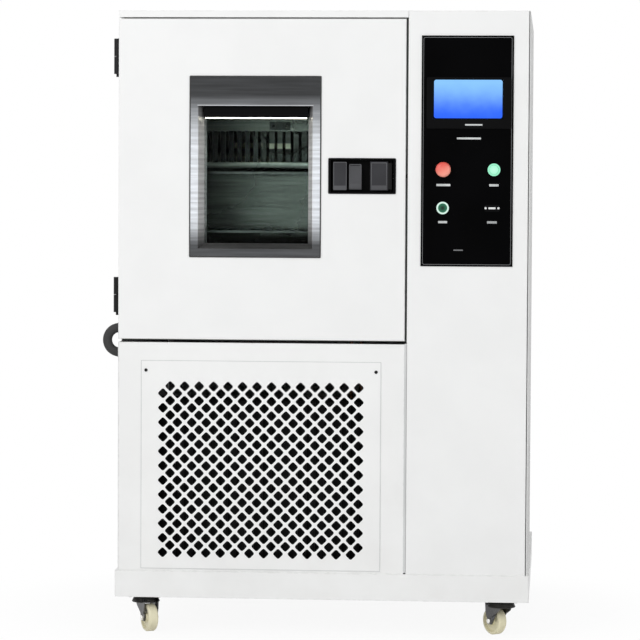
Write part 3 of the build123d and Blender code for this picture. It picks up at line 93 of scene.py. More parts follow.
class Tree:
    """A short way to add and join nodes in one node tree."""

    def __init__(self, tree: bpy.types.NodeTree) -> None:
        """Keeps the shader or geometry tree that gets the nodes."""
        self.tree = tree

    def add(self, kind: str, values: dict | None = None, **props: object) -> bpy.types.Node:
        """Adds a node.

        Args:
            kind: the node's Blender type.
            values: what its inputs hold, by name or index.
            **props: settings of the node itself.

        Returns:
            The new node.
        """
        node = self.tree.nodes.new(kind)
        for name, value in props.items():
            setattr(node, name, value)
        self.fill(node, values or {})
        return node

    def fill(self, node: bpy.types.Node, values: dict) -> None:
        """Feeds several inputs of a node, by name or index."""
        for key, value in values.items():
            self.feed(node.inputs[key], value)

    def feed(self, socket: Socket, value: object) -> None:
        """Links a socket or sets its value.

        Args:
            socket: the input.
            value: an output socket to link, or a plain value.
        """
        if isinstance(value, Socket):
            self.tree.links.new(value, socket)
        else:
            socket.default_value = value

    def math(self, operation: str, *values: object, clamp: bool = False) -> Socket:
        """Adds a Math node and gives its result."""
        return self.add("ShaderNodeMath", dict(enumerate(values)), operation=operation, use_clamp=clamp).outputs[0]

    def vector(self, operation: str, *values: object) -> Socket:
        """Adds a Vector Math node and gives its vector."""
        return self.add("ShaderNodeVectorMath", dict(enumerate(values)), operation=operation).outputs[0]

    def measure(self, operation: str, *values: object) -> Socket:
        """Adds a Vector Math node and gives its number, such as a length."""
        return self.add("ShaderNodeVectorMath", dict(enumerate(values)), operation=operation).outputs["Value"]

    def noise(self, place: Socket, scale: object, detail: float) -> Socket:
        """Adds a noise texture and gives its height."""
        return self.add("ShaderNodeTexNoise", {"Vector": place, "Scale": scale, "Detail": detail}).outputs[0]

    def parts(self, vector: Socket) -> list[Socket]:
        """Splits a vector into X, Y and Z."""
        return list(self.add("ShaderNodeSeparateXYZ", {0: vector}).outputs)

    def combined(self, **parts: object) -> Socket:
        """Makes a vector of X, Y and Z, each 0 where it isn't given."""
        return self.add("ShaderNodeCombineXYZ", parts).outputs[0]

    def ramp(self, value: object, low: float, high: float, out: tuple[float, float] = (0.0, 1.0)) -> Socket:
        """Maps a range smoothly onto another.

        Args:
            value: the socket that is mapped.
            low: where the range starts.
            high: where it ends.
            out: what the two ends become.

        Returns:
            The mapped value's socket.
        """
        inputs = {"Value": value, "From Min": low, "From Max": high, "To Min": out[0], "To Max": out[1]}
        return self.add("ShaderNodeMapRange", inputs, interpolation_type="SMOOTHSTEP").outputs["Result"]

    def blend(self, factor: object, first: object, second: object) -> Socket:
        """Mixes two colours, from the first at 0 to the second at 1."""
        return self.add("ShaderNodeMix", {0: factor, 6: first, 7: second}, data_type="RGBA").outputs[2]


def shared_material(name: str, fill: Callable[[Tree, bpy.types.Node, Socket], None]) -> bpy.types.Material:
    """Finds a material, or makes it.

    Args:
        name: its name.
        fill: adds a new one's nodes, given its tree, its Principled shader and its Object coordinates.

    Returns:
        The material.
    """
    if name in bpy.data.materials:
        return bpy.data.materials[name]
    material = bpy.data.materials.new(name)
    material.use_nodes = True
    tree = Tree(material.node_tree)
    fill(tree, material.node_tree.nodes["Principled BSDF"], tree.add("ShaderNodeTexCoord").outputs["Object"])
    return material


class SurfaceEffects:
    """The shader node groups that several finishes share, each built once."""

    @staticmethod
    def _start(
        name: str, inputs: dict[str, tuple[str, object]], outputs: dict[str, str]
    ) -> tuple[Tree, dict, dict]:
        """Makes an empty group with its sockets.

        Args:
            name: the group's name.
            inputs: socket name to its type and default.
            outputs: socket name to its type.

        Returns:
            The tree, its input sockets by name and its output sockets by name.
        """
        group = bpy.data.node_groups.new(name, "ShaderNodeTree")
        for label, (kind, default) in inputs.items():
            socket = group.interface.new_socket(label, in_out="INPUT", socket_type="NodeSocket" + kind)
            if default is not None:
                socket.default_value = default
        for label, kind in outputs.items():
            group.interface.new_socket(label, in_out="OUTPUT", socket_type="NodeSocket" + kind)
        tree = Tree(group)
        source = tree.add("NodeGroupInput")
        sink = tree.add("NodeGroupOutput")
        return tree, {s.name: s for s in source.outputs if s.name}, {s.name: s for s in sink.inputs if s.name}

    @classmethod
    @cache
    def grain(cls) -> bpy.types.NodeTree:
        """A fine grain that may be stretched into brushing.

        Returns:
            The group, which puts out a height and a slow variation.
        """
        inputs = {
            "Place": ("Vector", None), "Stretch": ("Vector", (1.0, 1.0, 1.0)), "Scale": ("Float", 900.0),
            "Patch Scale": ("Float", 7.0),
        }
        tree, given, out = cls._start("surface grain", inputs, {"Height": "Float", "Patch": "Float"})
        spread = tree.vector("MULTIPLY", given["Place"], given["Stretch"])
        tree.feed(out["Height"], tree.noise(spread, given["Scale"], 3.0))
        tree.feed(out["Patch"], tree.noise(given["Place"], given["Patch Scale"], 4.0))
        return tree.tree

    @classmethod
    @cache
    def edge_wear(cls) -> bpy.types.NodeTree:
        """A mask along the edges of a box shaped piece, broken up by noise.

        Returns:
            The group, which puts out the mask.
        """
        inputs = {
            "Place": ("Vector", None), "Low": ("Vector", (0.0, 0.0, 0.0)), "High": ("Vector", (1.0, 1.0, 1.0)),
            "Width": ("Float", 0.004),
        }
        tree, given, out = cls._start("edge wear", inputs, {"Mask": "Float"})
        from_low = tree.vector("ABSOLUTE", tree.vector("SUBTRACT", given["Place"], given["Low"]))
        from_high = tree.vector("ABSOLUTE", tree.vector("SUBTRACT", given["High"], given["Place"]))
        x, y, z = tree.parts(tree.vector("MINIMUM", from_low, from_high))
        lesser, greater = tree.math("MINIMUM", x, y), tree.math("MAXIMUM", x, y)
        second = tree.math("MAXIMUM", lesser, tree.math("MINIMUM", greater, z))
        rim = tree.ramp(tree.math("DIVIDE", second, given["Width"]), 0.0, 1.0, (1.0, 0.0))
        noise = tree.noise(given["Place"], 60.0, 5.0)
        tree.feed(out["Mask"], tree.math("MULTIPLY", rim, tree.ramp(noise, 0.42, 0.62)))
        return tree.tree

    @classmethod
    @cache
    def dust(cls) -> bpy.types.NodeTree:
        """Soiling that gathers towards the floor.

        Returns:
            The group, which puts out the soiled colour.
        """
        inputs = {
            "Place": ("Vector", None), "Colour": ("Color", (0.8, 0.8, 0.8, 1.0)),
            "Dust": ("Color", (0.45, 0.42, 0.37, 1.0)), "Amount": ("Float", 0.06), "Reach": ("Float", 0.7),
        }
        tree, given, out = cls._start("floor dust", inputs, {"Colour": "Color"})
        height = tree.parts(given["Place"])[2]
        fall = tree.math("SUBTRACT", 1.0, tree.math("DIVIDE", height, given["Reach"]), clamp=True)
        patches = tree.ramp(tree.noise(given["Place"], 9.0, 6.0), 0.3, 0.75)
        mask = tree.math("MULTIPLY", tree.math("MULTIPLY", fall, patches), given["Amount"])
        tree.feed(out["Colour"], tree.blend(mask, given["Colour"], given["Dust"]))
        return tree.tree


@dataclass(frozen=True)
class Finish:
    """A finish that is the same wherever it is used.

    The stretch is how much finer the grain is along each axis: brushing along X is fine across it.
    The fade turns one colour into another along an axis, and the levels paint shade and reflection by height.
    The glints paint highlights, soft bright patches: the middle in X and Z, half the width and half the height.
    """

    name: str
    kind: Kind
    colour: Colour
    roughness: float = 0.4
    metallic: float = 0.0
    specular: float = 0.5
    grain: float = 900.0
    depth: float = 4e-5
    stretch: Point = (1.0, 1.0, 1.0)
    variation: float = 0.04
    dust: float = 0.0
    wear: float = 0.0
    wear_colour: Colour = (0.6, 0.6, 0.6)
    fade_axis: Point = (0.0, 0.0, 0.0)
    fade_span: tuple[float, float] = (0.0, 1.0)
    fade_colour: Colour = UNLIT
    # The levels paint shade and reflection by height; the glints paint warm highlights.
    levels: tuple[tuple[float, float], ...] = ()
    glints: tuple[tuple[float, float, float, float], ...] = ()
    painted_glint_colour: Colour = (1.0, 0.97, 0.8)

    def paint_shade_by_height(self, tree: Tree, place: Socket, colour: Socket) -> Socket:
        """Paints shade and reflection into a colour by height, with streaks along the bands.

        Args:
            tree: the material's tree.
            place: the Object coordinates.
            colour: the colour so far.

        Returns:
            The dimmed colour's socket.
        """
        noise = tree.noise(tree.vector("MULTIPLY", place, (3.0, 3.0, 60.0)), 2.0, 3.0)
        sway = tree.math("MULTIPLY", tree.math("SUBTRACT", noise, 0.5), 6 * MM)
        ragged = tree.math("ADD", tree.parts(place)[2], sway)
        low, high = self.levels[0][0], self.levels[-1][0]
        share = tree.math("DIVIDE", tree.math("SUBTRACT", ragged, low), high - low, clamp=True)
        bands = tree.add("ShaderNodeValToRGB", {0: share})
        stops = bands.color_ramp.elements
        while len(stops) < len(self.levels):
            stops.new(0.5)
        for stop, (z, level) in zip(stops, self.levels):
            stop.position = (z - low) / (high - low)
            stop.color = rgba((level, level, level))
        streak = tree.math("MULTIPLY", bands.outputs[0], tree.ramp(noise, 0.25, 0.75, (0.75, 1.2)))
        return tree.blend(streak, rgba(UNLIT), colour)

    def shaded(self, tree: Tree, place: Socket, colour: Socket) -> Socket:
        """Adds the fade, the painted shade by height and the painted highlights to a colour.

        Args:
            tree: the material's tree.
            place: the Object coordinates.
            colour: the colour so far.

        Returns:
            The shaded colour's socket.
        """
        if any(self.fade_axis):
            along = tree.measure("DOT_PRODUCT", place, self.fade_axis)
            colour = tree.blend(tree.ramp(along, *self.fade_span), colour, rgba(self.fade_colour))
        if self.levels:
            colour = self.paint_shade_by_height(tree, place, colour)
        across, _, up = tree.parts(place) if self.glints else (None, None, None)
        # Each glint is a painted highlight, a soft bright patch blended into the colour.
        for x, z, half_width, half_height in self.glints:
            masks = []
            for way, middle, half in ((across, x, half_width), (up, z, half_height)):
                offset = tree.math("ABSOLUTE", tree.math("SUBTRACT", way, middle))
                masks.append(tree.ramp(offset, half * 0.6, half, (1.0, 0.0)))
            colour = tree.blend(tree.math("MULTIPLY", *masks), colour, rgba(self.painted_glint_colour))
        return colour

    def nodes(self, tree: Tree, shader: bpy.types.Node, place: Socket, node: str = "") -> None:
        """Adds the finish's nodes to a new material.

        Args:
            tree: the material's tree.
            shader: its Principled shader.
            place: its Object coordinates.
            node: the CAD node whose box the edge wear follows, for finishes that have wear.
        """
        given = {"Place": place, "Stretch": self.stretch, "Scale": self.grain}
        grain = tree.add("ShaderNodeGroup", given, node_tree=SurfaceEffects.grain()).outputs
        darker = tuple(c * (1.0 - self.variation) for c in self.colour)
        lighter = tuple(min(1.0, c * (1.0 + self.variation)) for c in self.colour)
        patch = tree.ramp(grain["Patch"], 0.3, 0.7)
        if self.kind is Kind.BRUSHED:
            patch = tree.math("MULTIPLY", tree.math("ADD", patch, tree.ramp(grain["Height"], 0.3, 0.7)), 0.5)
        colour = tree.blend(patch, rgba(darker), rgba(lighter))
        if self.dust:
            given = {"Place": place, "Colour": colour, "Amount": self.dust}
            colour = tree.add("ShaderNodeGroup", given, node_tree=SurfaceEffects.dust()).outputs["Colour"]
        if self.wear and node:
            low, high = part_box(node)
            given = {"Place": place, "Low": tuple(low), "High": tuple(high)}
            edges = tree.add("ShaderNodeGroup", given, node_tree=SurfaceEffects.edge_wear())
            colour = tree.blend(
                tree.math("MULTIPLY", edges.outputs["Mask"], self.wear), colour, rgba(self.wear_colour)
            )
        smoother, rougher = self.roughness * 0.88, min(1.0, self.roughness * 1.12)
        bump = tree.add("ShaderNodeBump", {"Height": grain["Height"], "Distance": self.depth, "Strength": 0.6})
        tree.fill(shader, {
            "Base Color": self.shaded(tree, place, colour),
            "Roughness": tree.ramp(grain["Patch"], 0.25, 0.75, (smoother, rougher)),
            "Metallic": self.metallic,
            "Specular IOR Level": self.specular,
            "Normal": bump.outputs[0],
        })

    def material(self, node: str = "") -> bpy.types.Material:
        """Finds or builds the material, whose edge wear follows a CAD node's box."""
        label = f"{self.name} {node}" if node and self.wear else self.name
        return shared_material(label, lambda tree, shader, place: self.nodes(tree, shader, place, node))


@dataclass(frozen=True)
class Glass:
    """Clear pane glass that lets the light through as it would a thin sheet."""

    name: str = "clear_pane"
    tint: Colour = (0.93, 0.97, 0.96)
    bending: float = 1.06

    def nodes(self, tree: Tree, shader: bpy.types.Node, place: Socket) -> None:
        """Adds the glass's nodes to a new material.

        Args:
            tree: the material's tree.
            shader: its Principled shader.
            place: its Object coordinates.
        """
        shadow = tree.add("ShaderNodeLightPath").outputs["Is Shadow Ray"]
        tree.fill(shader, {
            "Base Color": rgba(self.tint),
            "Transmission Weight": 1.0,
            "IOR": self.bending,
            "Roughness": tree.ramp(tree.noise(place, 6.0, 6.0), 0.45, 0.8, (0.0, 0.035)),
            "Alpha": tree.math("SUBTRACT", 1.0, shadow),
        })

    def material(self) -> bpy.types.Material:
        """Finds or builds the glass."""
        return shared_material(self.name, self.nodes)


@dataclass(frozen=True)
class Glow:
    """A lit surface whose colour goes from core to rim: outwards from the centre, or up the piece."""

    name: str
    core: Colour
    rim: Colour
    strength: float = 1.0
    centre: Point = (0.0, 0.0, 0.0)
    reach: float = 0.02
    upright: bool = False
    body: Colour = (0.02, 0.02, 0.02)
    roughness: float = 0.25

    def nodes(self, tree: Tree, shader: bpy.types.Node, place: Socket) -> None:
        """Adds the glow's nodes to a new material.

        Args:
            tree: the material's tree.
            shader: its Principled shader.
            place: its Object coordinates.
        """
        offset = tree.vector("SUBTRACT", place, self.centre)
        if self.upright:
            way = tree.parts(offset)[2]
        else:
            way = tree.measure("LENGTH", tree.vector("MULTIPLY", offset, (1.0, 0.0, 1.0)))
        noise = tree.noise(place, 25.0, 2.0)
        uneven = tree.math("MULTIPLY", tree.math("SUBTRACT", noise, 0.5), self.reach * 0.25)
        share = tree.ramp(tree.math("ADD", way, uneven), 0.0, self.reach)
        colour = tree.blend(share, rgba(self.core), rgba(self.rim))
        tree.fill(shader, {
            "Emission Color": colour,
            "Emission Strength": self.strength,
            "Base Color": tree.blend(0.85, colour, rgba(self.body)),
            "Roughness": self.roughness,
            "Specular IOR Level": 0.1,
        })

    def material(self) -> bpy.types.Material:
        """Finds or builds the material."""
        return shared_material(self.name, self.nodes)


def painted(name: str, colour: Colour, roughness: float, **more: object) -> Finish:
    """A painted or printed finish."""
    return Finish(name, Kind.PAINT, colour, roughness, **more)


def metal(name: str, colour: Colour, roughness: float, **more: object) -> Finish:
    """A finish of bare or plated metal."""
    return Finish(name, Kind.BRUSHED, colour, roughness, **{"metallic": 1.0, **more})


def soft(name: str, colour: Colour, roughness: float, **more: object) -> Finish:
    """A finish of rubber, silicone or foam."""
    return Finish(name, Kind.SOFT, colour, roughness, **more)


def moulded(name: str, colour: Colour, **more: object) -> Finish:
    """A finish of moulded plastic."""
    usual = {"roughness": 0.5, "grain": 1300.0, "depth": 8e-5, "variation": 0.15}
    return Finish(name, Kind.MOULDED, colour, **{**usual, **more})


class Finishes:
    """Every finish of the chamber."""

    WHITE = painted("white_powder_coat", (0.86, 0.865, 0.862), 0.42, grain=620.0, variation=0.012, dust=0.05,
                    wear=0.35, wear_colour=(0.7, 0.7, 0.69))
    LOWER = painted("pale_grey_powder_coat", (0.86, 0.865, 0.86), 0.45, grain=620.0, variation=0.015, dust=0.09,
                    wear=0.4, wear_colour=(0.66, 0.66, 0.65))
    # White powder coat darkened as painted shade for the right side panel, which is seen at a grazing angle in
    # shade.
    SHADED_SIDE = painted("side_powder_coat_painted_shade", (0.76, 0.765, 0.76), 0.6, specular=0.05, grain=620.0, variation=0.012,
                   dust=0.05)
    ZINC = metal("zinc_plate", (0.42, 0.42, 0.42), 0.32, grain=240.0, depth=2e-5, variation=0.18, dust=0.1)
    STEEL = metal("brushed_stainless", (0.5, 0.51, 0.53), 0.3, grain=500.0, depth=2e-5, stretch=(0.04, 1.0, 1.0),
                  variation=0.1)
    # The window frame's colour holds painted light: the fade paints the reveals behind its front white as a
    # highlight, and the levels paint shade and reflection, dark at the top band and at the bottom.
    FRAME = metal("window_frame_stainless_painted_light", (0.74, 0.77, 0.81), 0.42, metallic=0.6, grain=500.0, depth=2e-5,
                  stretch=(0.04, 1.0, 1.0), variation=0.05,
                  fade_axis=(0.0, 1.0, 0.0), fade_span=(-0.5248, -0.524), fade_colour=BRIGHT,
                  levels=((1.0, 0.1), (1.05, 0.1), (1.12, 0.9), (1.32, 0.9), (1.45, 0.05)))
    # Stainless steel darkened as painted shade, for the unlit inside of the chamber.
    LINER = metal("stainless_painted_shade", (0.14, 0.15, 0.14), 0.25, grain=300.0, depth=2e-5, stretch=(0.05, 1.0, 1.0),
                  variation=0.2)
    # The baffle's levels paint shade and reflection: dark at the foot, the shadow under the upper shelf, and bright
    # and dark bands on the vanes. Its glints are painted warm highlights of the lamp. The evaporator, heater,
    # blower wheel and motor share these painted bands.
    BAFFLE = metal("baffle_stainless_painted_light", (0.74, 0.76, 0.7), 0.28, grain=300.0, depth=2e-5,
                   stretch=(0.05, 1.0, 1.0), variation=0.12,
                   levels=((1.06, 0.0), (1.1, 0.25), (1.24, 0.25), (1.25, 0.0), (1.26, 0.0), (1.27, 0.7),
                           (1.31, 0.1), (1.34, 0.3), (1.4, 0.3)),
                   glints=((-0.245, 1.325, 0.045, 0.01), (-0.155, 1.325, 0.045, 0.01), (-0.2, 1.285, 0.08, 0.012)))
    # Steel darkened as painted shade, so the wire shelves and probes stay dark inside the chamber.
    SHELF = metal("shelf_steel_painted_shade", (0.09, 0.092, 0.088), 0.35, grain=400.0, variation=0.4)
    INSULATION = soft("foam_board", (0.8, 0.74, 0.52), 0.95, grain=350.0, depth=6e-4, variation=0.1)
    SILICONE = soft("pale_silicone", (0.68, 0.67, 0.63), 0.6, grain=500.0, variation=0.06)
    RUBBER = soft("black_rubber", (0.005, 0.005, 0.005), 0.6, specular=0.2, grain=450.0, depth=1e-4, variation=0.2)
    BLACK = moulded("black_moulding", (0.0015, 0.0015, 0.0018), roughness=0.45, specular=0.06, depth=6e-5,
                    variation=0.2)
    CHARCOAL = moulded("charcoal_moulding", (0.016, 0.0165, 0.018), specular=0.25)
    BUTTON = moulded("button_moulding", (0.062, 0.063, 0.068), specular=0.3)
    # Lighter grey on the latch's raised rims and lips, a painted highlight on the mouldings' edges.
    EDGE_HIGHLIGHT = moulded("moulded_edge_painted_highlight", (0.075, 0.076, 0.082), specular=0.3, variation=0.2)
    LEVER = moulded("lever_moulding", (0.032, 0.032, 0.036), specular=0.2,
                    fade_axis=(1.0, 0.0, 0.0), fade_span=(0.1962, 0.1968), fade_colour=(0.001, 0.001, 0.001))
    BLACKENED = painted("blackened_steel", (0.012, 0.012, 0.013), 0.5, specular=0.25, grain=600.0, variation=0.25,
                        dust=0.08)
    # Plated steel darkened as painted shade and reflection, and the fade paints the top of the fork near black,
    # under the plate.
    FORK = metal("fork_steel_painted_shade", (0.1, 0.1, 0.103), 0.34, grain=240.0, depth=2e-5, variation=0.5, dust=0.1,
                 fade_axis=(0.0, 0.0, 1.0), fade_span=(0.078, 0.084), fade_colour=(0.008, 0.008, 0.008))
    # Plated nuts lightened as a painted highlight on the axle ends.
    NUT = metal("nut_painted_highlight", (0.8, 0.79, 0.76), 0.25, grain=400.0, depth=1e-5, variation=0.08)
    PANEL = painted("black_panel", (0.001, 0.001, 0.0012), 0.35, specular=0.02, grain=900.0, depth=1e-5,
                    variation=0.3)
    HINGE = painted("black_enamel", (0.004, 0.004, 0.0045), 0.4, specular=0.2, grain=700.0, variation=0.2,
                    wear=0.2, wear_colour=(0.04, 0.04, 0.04))
    COIL = painted("black_coil", (0.004, 0.004, 0.0045), 0.6, specular=0.1, grain=300.0, variation=0.3, dust=0.01)
    # Zinc darkened to near black as painted shade, for the unlit bulkheads behind the grille.
    INNER = metal("inner_zinc_painted_shade", (0.02, 0.02, 0.021), 0.45, grain=240.0, depth=2e-5, variation=0.25)
    MOTOR = painted("motor_enamel", (0.1, 0.12, 0.13), 0.45, grain=500.0, variation=0.1)
    ALUMINIUM = metal("mill_aluminium", (0.62, 0.63, 0.64), 0.35, grain=400.0, stretch=(1.0, 1.0, 0.06),
                      variation=0.1)
    COPPER = metal("copper_tube", (0.66, 0.33, 0.2), 0.32, grain=300.0, variation=0.18)
    BRASS = metal("brass_fitting", (0.6, 0.47, 0.2), 0.3, grain=300.0, variation=0.12)
    # The fade paints a lighter salmon highlight on the red moulding, on one side of a slanted line.
    RED = moulded("red_moulding_painted_highlight", (0.78, 0.1, 0.075), roughness=0.35, grain=1200.0, depth=3e-5, variation=0.04,
                  fade_axis=(0.5, 0.0, -1.0), fade_span=(-1.1, -1.062), fade_colour=(0.98, 0.36, 0.27))
    TREAD = moulded("cream_polyurethane", (0.82, 0.77, 0.54), roughness=0.45, grain=500.0, depth=1e-4,
                    variation=0.12, dust=0.35)
    # Grey for a printed mark, and for the fine line round the control panel, which is a painted highlight on the
    # bezel's inner edge.
    LINE_PRINT_AND_HIGHLIGHT = painted("grey_print_and_painted_highlight", (0.16, 0.165, 0.17), 0.5, grain=700.0, variation=0.15)
    # Grey that paints shade: the shadow line round the grille and the shade in the seam beside the column.
    SEAM_SHADE = painted("painted_seam_shade", (0.6, 0.61, 0.61), 0.5, grain=620.0, variation=0.06)
    LABEL = painted("label_print", (0.5, 0.52, 0.52), 0.6, grain=420.0, variation=0.35)
    PRINT = painted("white_print", (0.8, 0.81, 0.8), 0.6, grain=500.0, variation=0.1)

    BY_SLOT: dict[str, Finish] = {
        "white_paint": WHITE, "grey_paint": LOWER, "galvanised": ZINC, "stainless": STEEL, "insulation": INSULATION,
        "silicone": SILICONE, "black_rubber": RUBBER, "black_plastic": BLACK, "grey_plastic": CHARCOAL,
        "black_gloss": PANEL, "aluminium": ALUMINIUM, "copper": COPPER, "red_plastic": RED, "black_paint": HINGE,
        "motor_paint": MOTOR, "wheel": TREAD, "brass": BRASS,
    }
    BY_NODE: dict[str, Finish] = {
        **dict.fromkeys(("chamber_liner", "humidifier_pan", "shelf_rails"), LINER),
        **dict.fromkeys(("air_duct_panel", "evaporator", "heater_coil", "blower_wheel", "blower_motor"), BAFFLE),
        **dict.fromkeys(("condenser", "condenser_fan", "condenser_fan_shroud", "compressor"), COIL),
        **dict.fromkeys(("wire_shelves", "sensor_probes"), SHELF),
        **dict.fromkeys(("caster_fork_" + corner for corner in CORNERS), FORK),
        "inner_bulkheads": INNER, "window_frame": FRAME, "latch_lever": LEVER, "latch_button": BUTTON,
        "right_side_panel": SHADED_SIDE, "caster_plates": BLACKENED, "screen_glass": PANEL, "door_gasket": RUBBER,
    }


# Mesh helpers


def new_piece(name: str, vertices: list[Point], faces: list[tuple[int, ...]]) -> Piece:
    """Makes a mesh object at the origin.

    Args:
        name: the piece's name.
        vertices: its points, in metres in the model's frame.
        faces: its faces as indices.

    Returns:
        The linked object.
    """
    mesh = bpy.data.meshes.new(name)
    mesh.from_pydata(vertices, [], faces)
    mesh.update()
    piece = bpy.data.objects.new(name, mesh)
    bpy.context.scene.collection.objects.link(piece)
    return piece


def recalculate(piece: Piece) -> None:
    """Turns a closed piece's faces outwards.

    Args:
        piece: the piece.
    """
    work = bmesh.new()
    work.from_mesh(piece.data)
    bmesh.ops.recalc_face_normals(work, faces=work.faces)
    work.to_mesh(piece.data)
    work.free()
    piece.data.update()


def smooth_by_angle(piece: Piece, degrees: float) -> None:
    """Shades a piece smooth, with sharp edges where its faces meet at more than an angle.

    Args:
        piece: the piece.
        degrees: the angle.
    """
    mesh = piece.data
    mesh.polygons.foreach_set("use_smooth", [True] * len(mesh.polygons))
    mesh.set_sharp_from_angle(angle=math.radians(degrees))


def settle(piece: Piece, body: str, finish: Finish | Glow | None = None) -> Piece:
    """Says what a piece rides on and what it is made of.

    Args:
        piece: the piece.
        body: the body that it moves with.
        finish: its finish, where it has no material yet.

    Returns:
        The same piece.
    """
    if finish:
        piece.data.materials.append(finish.material())
    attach(piece, body)
    return piece


def rounded_rectangle(width: float, height: float, radius: float, steps: int = 5) -> Outline:
    """The outline of a rectangle with round corners, about its middle.

    Args:
        width: across.
        height: up.
        radius: of the corners.
        steps: segments in each corner.

    Returns:
        Points in order, counter-clockwise.
    """
    points = []
    for turn, (sx, sz) in enumerate(((1, 1), (-1, 1), (-1, -1), (1, -1))):
        cx, cz = sx * (width / 2 - radius), sz * (height / 2 - radius)
        for n in range(steps + 1):
            angle = math.pi / 2 * (turn + n / steps)
            points.append((cx + radius * math.cos(angle), cz + radius * math.sin(angle)))
    return points


def ring_of(name: str, sections: list[list[Point]]) -> Piece:
    """Joins closed sections, one after another and round to the first, into a closed ring.

    Args:
        name: the piece's name.
        sections: the sections, each with as many points.

    Returns:
        The piece.
    """
    steps, size = len(sections), len(sections[0])
    faces = []
    for n in range(steps):
        here, there = n * size, (n + 1) % steps * size
        faces += [(here + k, here + (k + 1) % size, there + (k + 1) % size, there + k) for k in range(size)]
    piece = new_piece(name, [point for section in sections for point in section], faces)
    recalculate(piece)
    return piece


def prism(name: str, near: list[Point], far: list[Point]) -> Piece:
    """Makes a closed prism between two outlines with as many points.

    Args:
        name: the piece's name.
        near: the first outline.
        far: the second outline.

    Returns:
        The piece.
    """
    count = len(near)
    faces = [tuple(range(count)), tuple(range(2 * count - 1, count - 1, -1))]
    faces += [(n, (n + 1) % count, count + (n + 1) % count, count + n) for n in range(count)]
    piece = new_piece(name, near + far, faces)
    recalculate(piece)
    return piece


def flat_ring(name: str, outer: Outline, inner: Outline, centre: Point, thickness: float) -> Piece:
    """A thin closed frame that faces the front.

    Args:
        name: the piece's name.
        outer: its outer outline in X and Z.
        inner: its inner outline, with as many points.
        centre: the middle of its rear face.
        thickness: how far it stands out to the front.

    Returns:
        The piece.
    """
    x, y, z = centre
    front = y - thickness
    return ring_of(name, [
        [(x + a, y, z + b), (x + c, y, z + d), (x + c, front, z + d), (x + a, front, z + b)]
        for (a, b), (c, d) in zip(outer, inner)
    ])


def flat_plate(name: str, outline: Outline, centre: Point, thickness: float) -> Piece:
    """A thin closed plate that faces the front.

    Args:
        name: the piece's name.
        outline: its outline in X and Z.
        centre: the middle of its rear face.
        thickness: how far it stands out to the front.

    Returns:
        The piece.
    """
    x, y, z = centre
    near, far = ([(x + a, y - t, z + b) for a, b in outline] for t in (0.0, thickness))
    return prism(name, near, far)


def front_of(node: str) -> tuple[float, float, Point]:
    """The front of a CAD node's box.

    Args:
        node: the node.

    Returns:
        Its width, its height and its middle.
    """
    low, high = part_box(node)
    return high.x - low.x, high.z - low.z, ((low.x + high.x) / 2, low.y, (low.z + high.z) / 2)


class GeometryTree(Tree):
    """A Geometry Nodes tree with named inputs that ends in Realize Instances and Set Material."""

    def __init__(self, name: str, inputs: dict[str, tuple[str, object]]) -> None:
        """Makes the tree and its inputs.

        Args:
            name: the tree's name.
            inputs: input name to its socket type and default.
        """
        group = bpy.data.node_groups.new(name, "GeometryNodeTree")
        super().__init__(group)
        self.keys: dict[str, str] = {}
        group.interface.new_socket("Geometry", in_out="INPUT", socket_type="NodeSocketGeometry")
        for label, (kind, default) in {**inputs, "Material": ("Material", None)}.items():
            socket = group.interface.new_socket(label, in_out="INPUT", socket_type="NodeSocket" + kind)
            if default is not None:
                socket.default_value = default
            self.keys[label] = socket.identifier
        group.interface.new_socket("Geometry", in_out="OUTPUT", socket_type="NodeSocketGeometry")
        self.given = {s.name: s for s in self.add("NodeGroupInput").outputs if s.name}
        self.sink = self.add("NodeGroupOutput")

    def moved(self, geometry: Socket, **how: object) -> Socket:
        """Moves or turns geometry by a Translation or a Rotation."""
        return self.add("GeometryNodeTransform", {"Geometry": geometry, **how}).outputs[0]

    def joined(self, *parts: Socket) -> Socket:
        """Joins meshes into one geometry."""
        node = self.add("GeometryNodeJoinGeometry")
        for part in parts:
            self.feed(node.inputs[0], part)
        return node.outputs[0]

    def close(self, geometry: Socket) -> None:
        """Ends the tree in Realize Instances and Set Material.

        Args:
            geometry: what the tree has made.
        """
        real = self.add("GeometryNodeRealizeInstances", {"Geometry": geometry})
        inputs = {"Geometry": real.outputs[0], "Material": self.given["Material"]}
        self.feed(self.sink.inputs[0], self.add("GeometryNodeSetMaterial", inputs).outputs[0])

    def grow(
        self, name: str, values: dict[str, object], finish: bpy.types.Material, base: Piece | None = None
    ) -> Piece:
        """Runs the tree once and keeps its result as a plain mesh.

        Args:
            name: the new piece's name.
            values: the inputs' values by name.
            finish: the piece's material.
            base: a mesh that the tree starts from, which is used up.

        Returns:
            A piece with no modifier.
        """
        holder = base or new_piece(name + "_seed", [(0.0, 0.0, 0.0)], [])
        modifier = holder.modifiers.new("nodes", "NODES")
        modifier.node_group = self.tree
        for label, value in {**values, "Material": finish}.items():
            modifier[self.keys[label]] = value
        bpy.context.view_layer.update()
        graph = bpy.context.evaluated_depsgraph_get()
        mesh = bpy.data.meshes.new_from_object(holder.evaluated_get(graph))
        mesh.name = name
        holder.modifiers.remove(modifier)
        bpy.data.objects.remove(holder)
        piece = bpy.data.objects.new(name, mesh)
        bpy.context.scene.collection.objects.link(piece)
        if not mesh.materials:
            mesh.materials.append(finish)
        return piece


# The chamber's own pieces


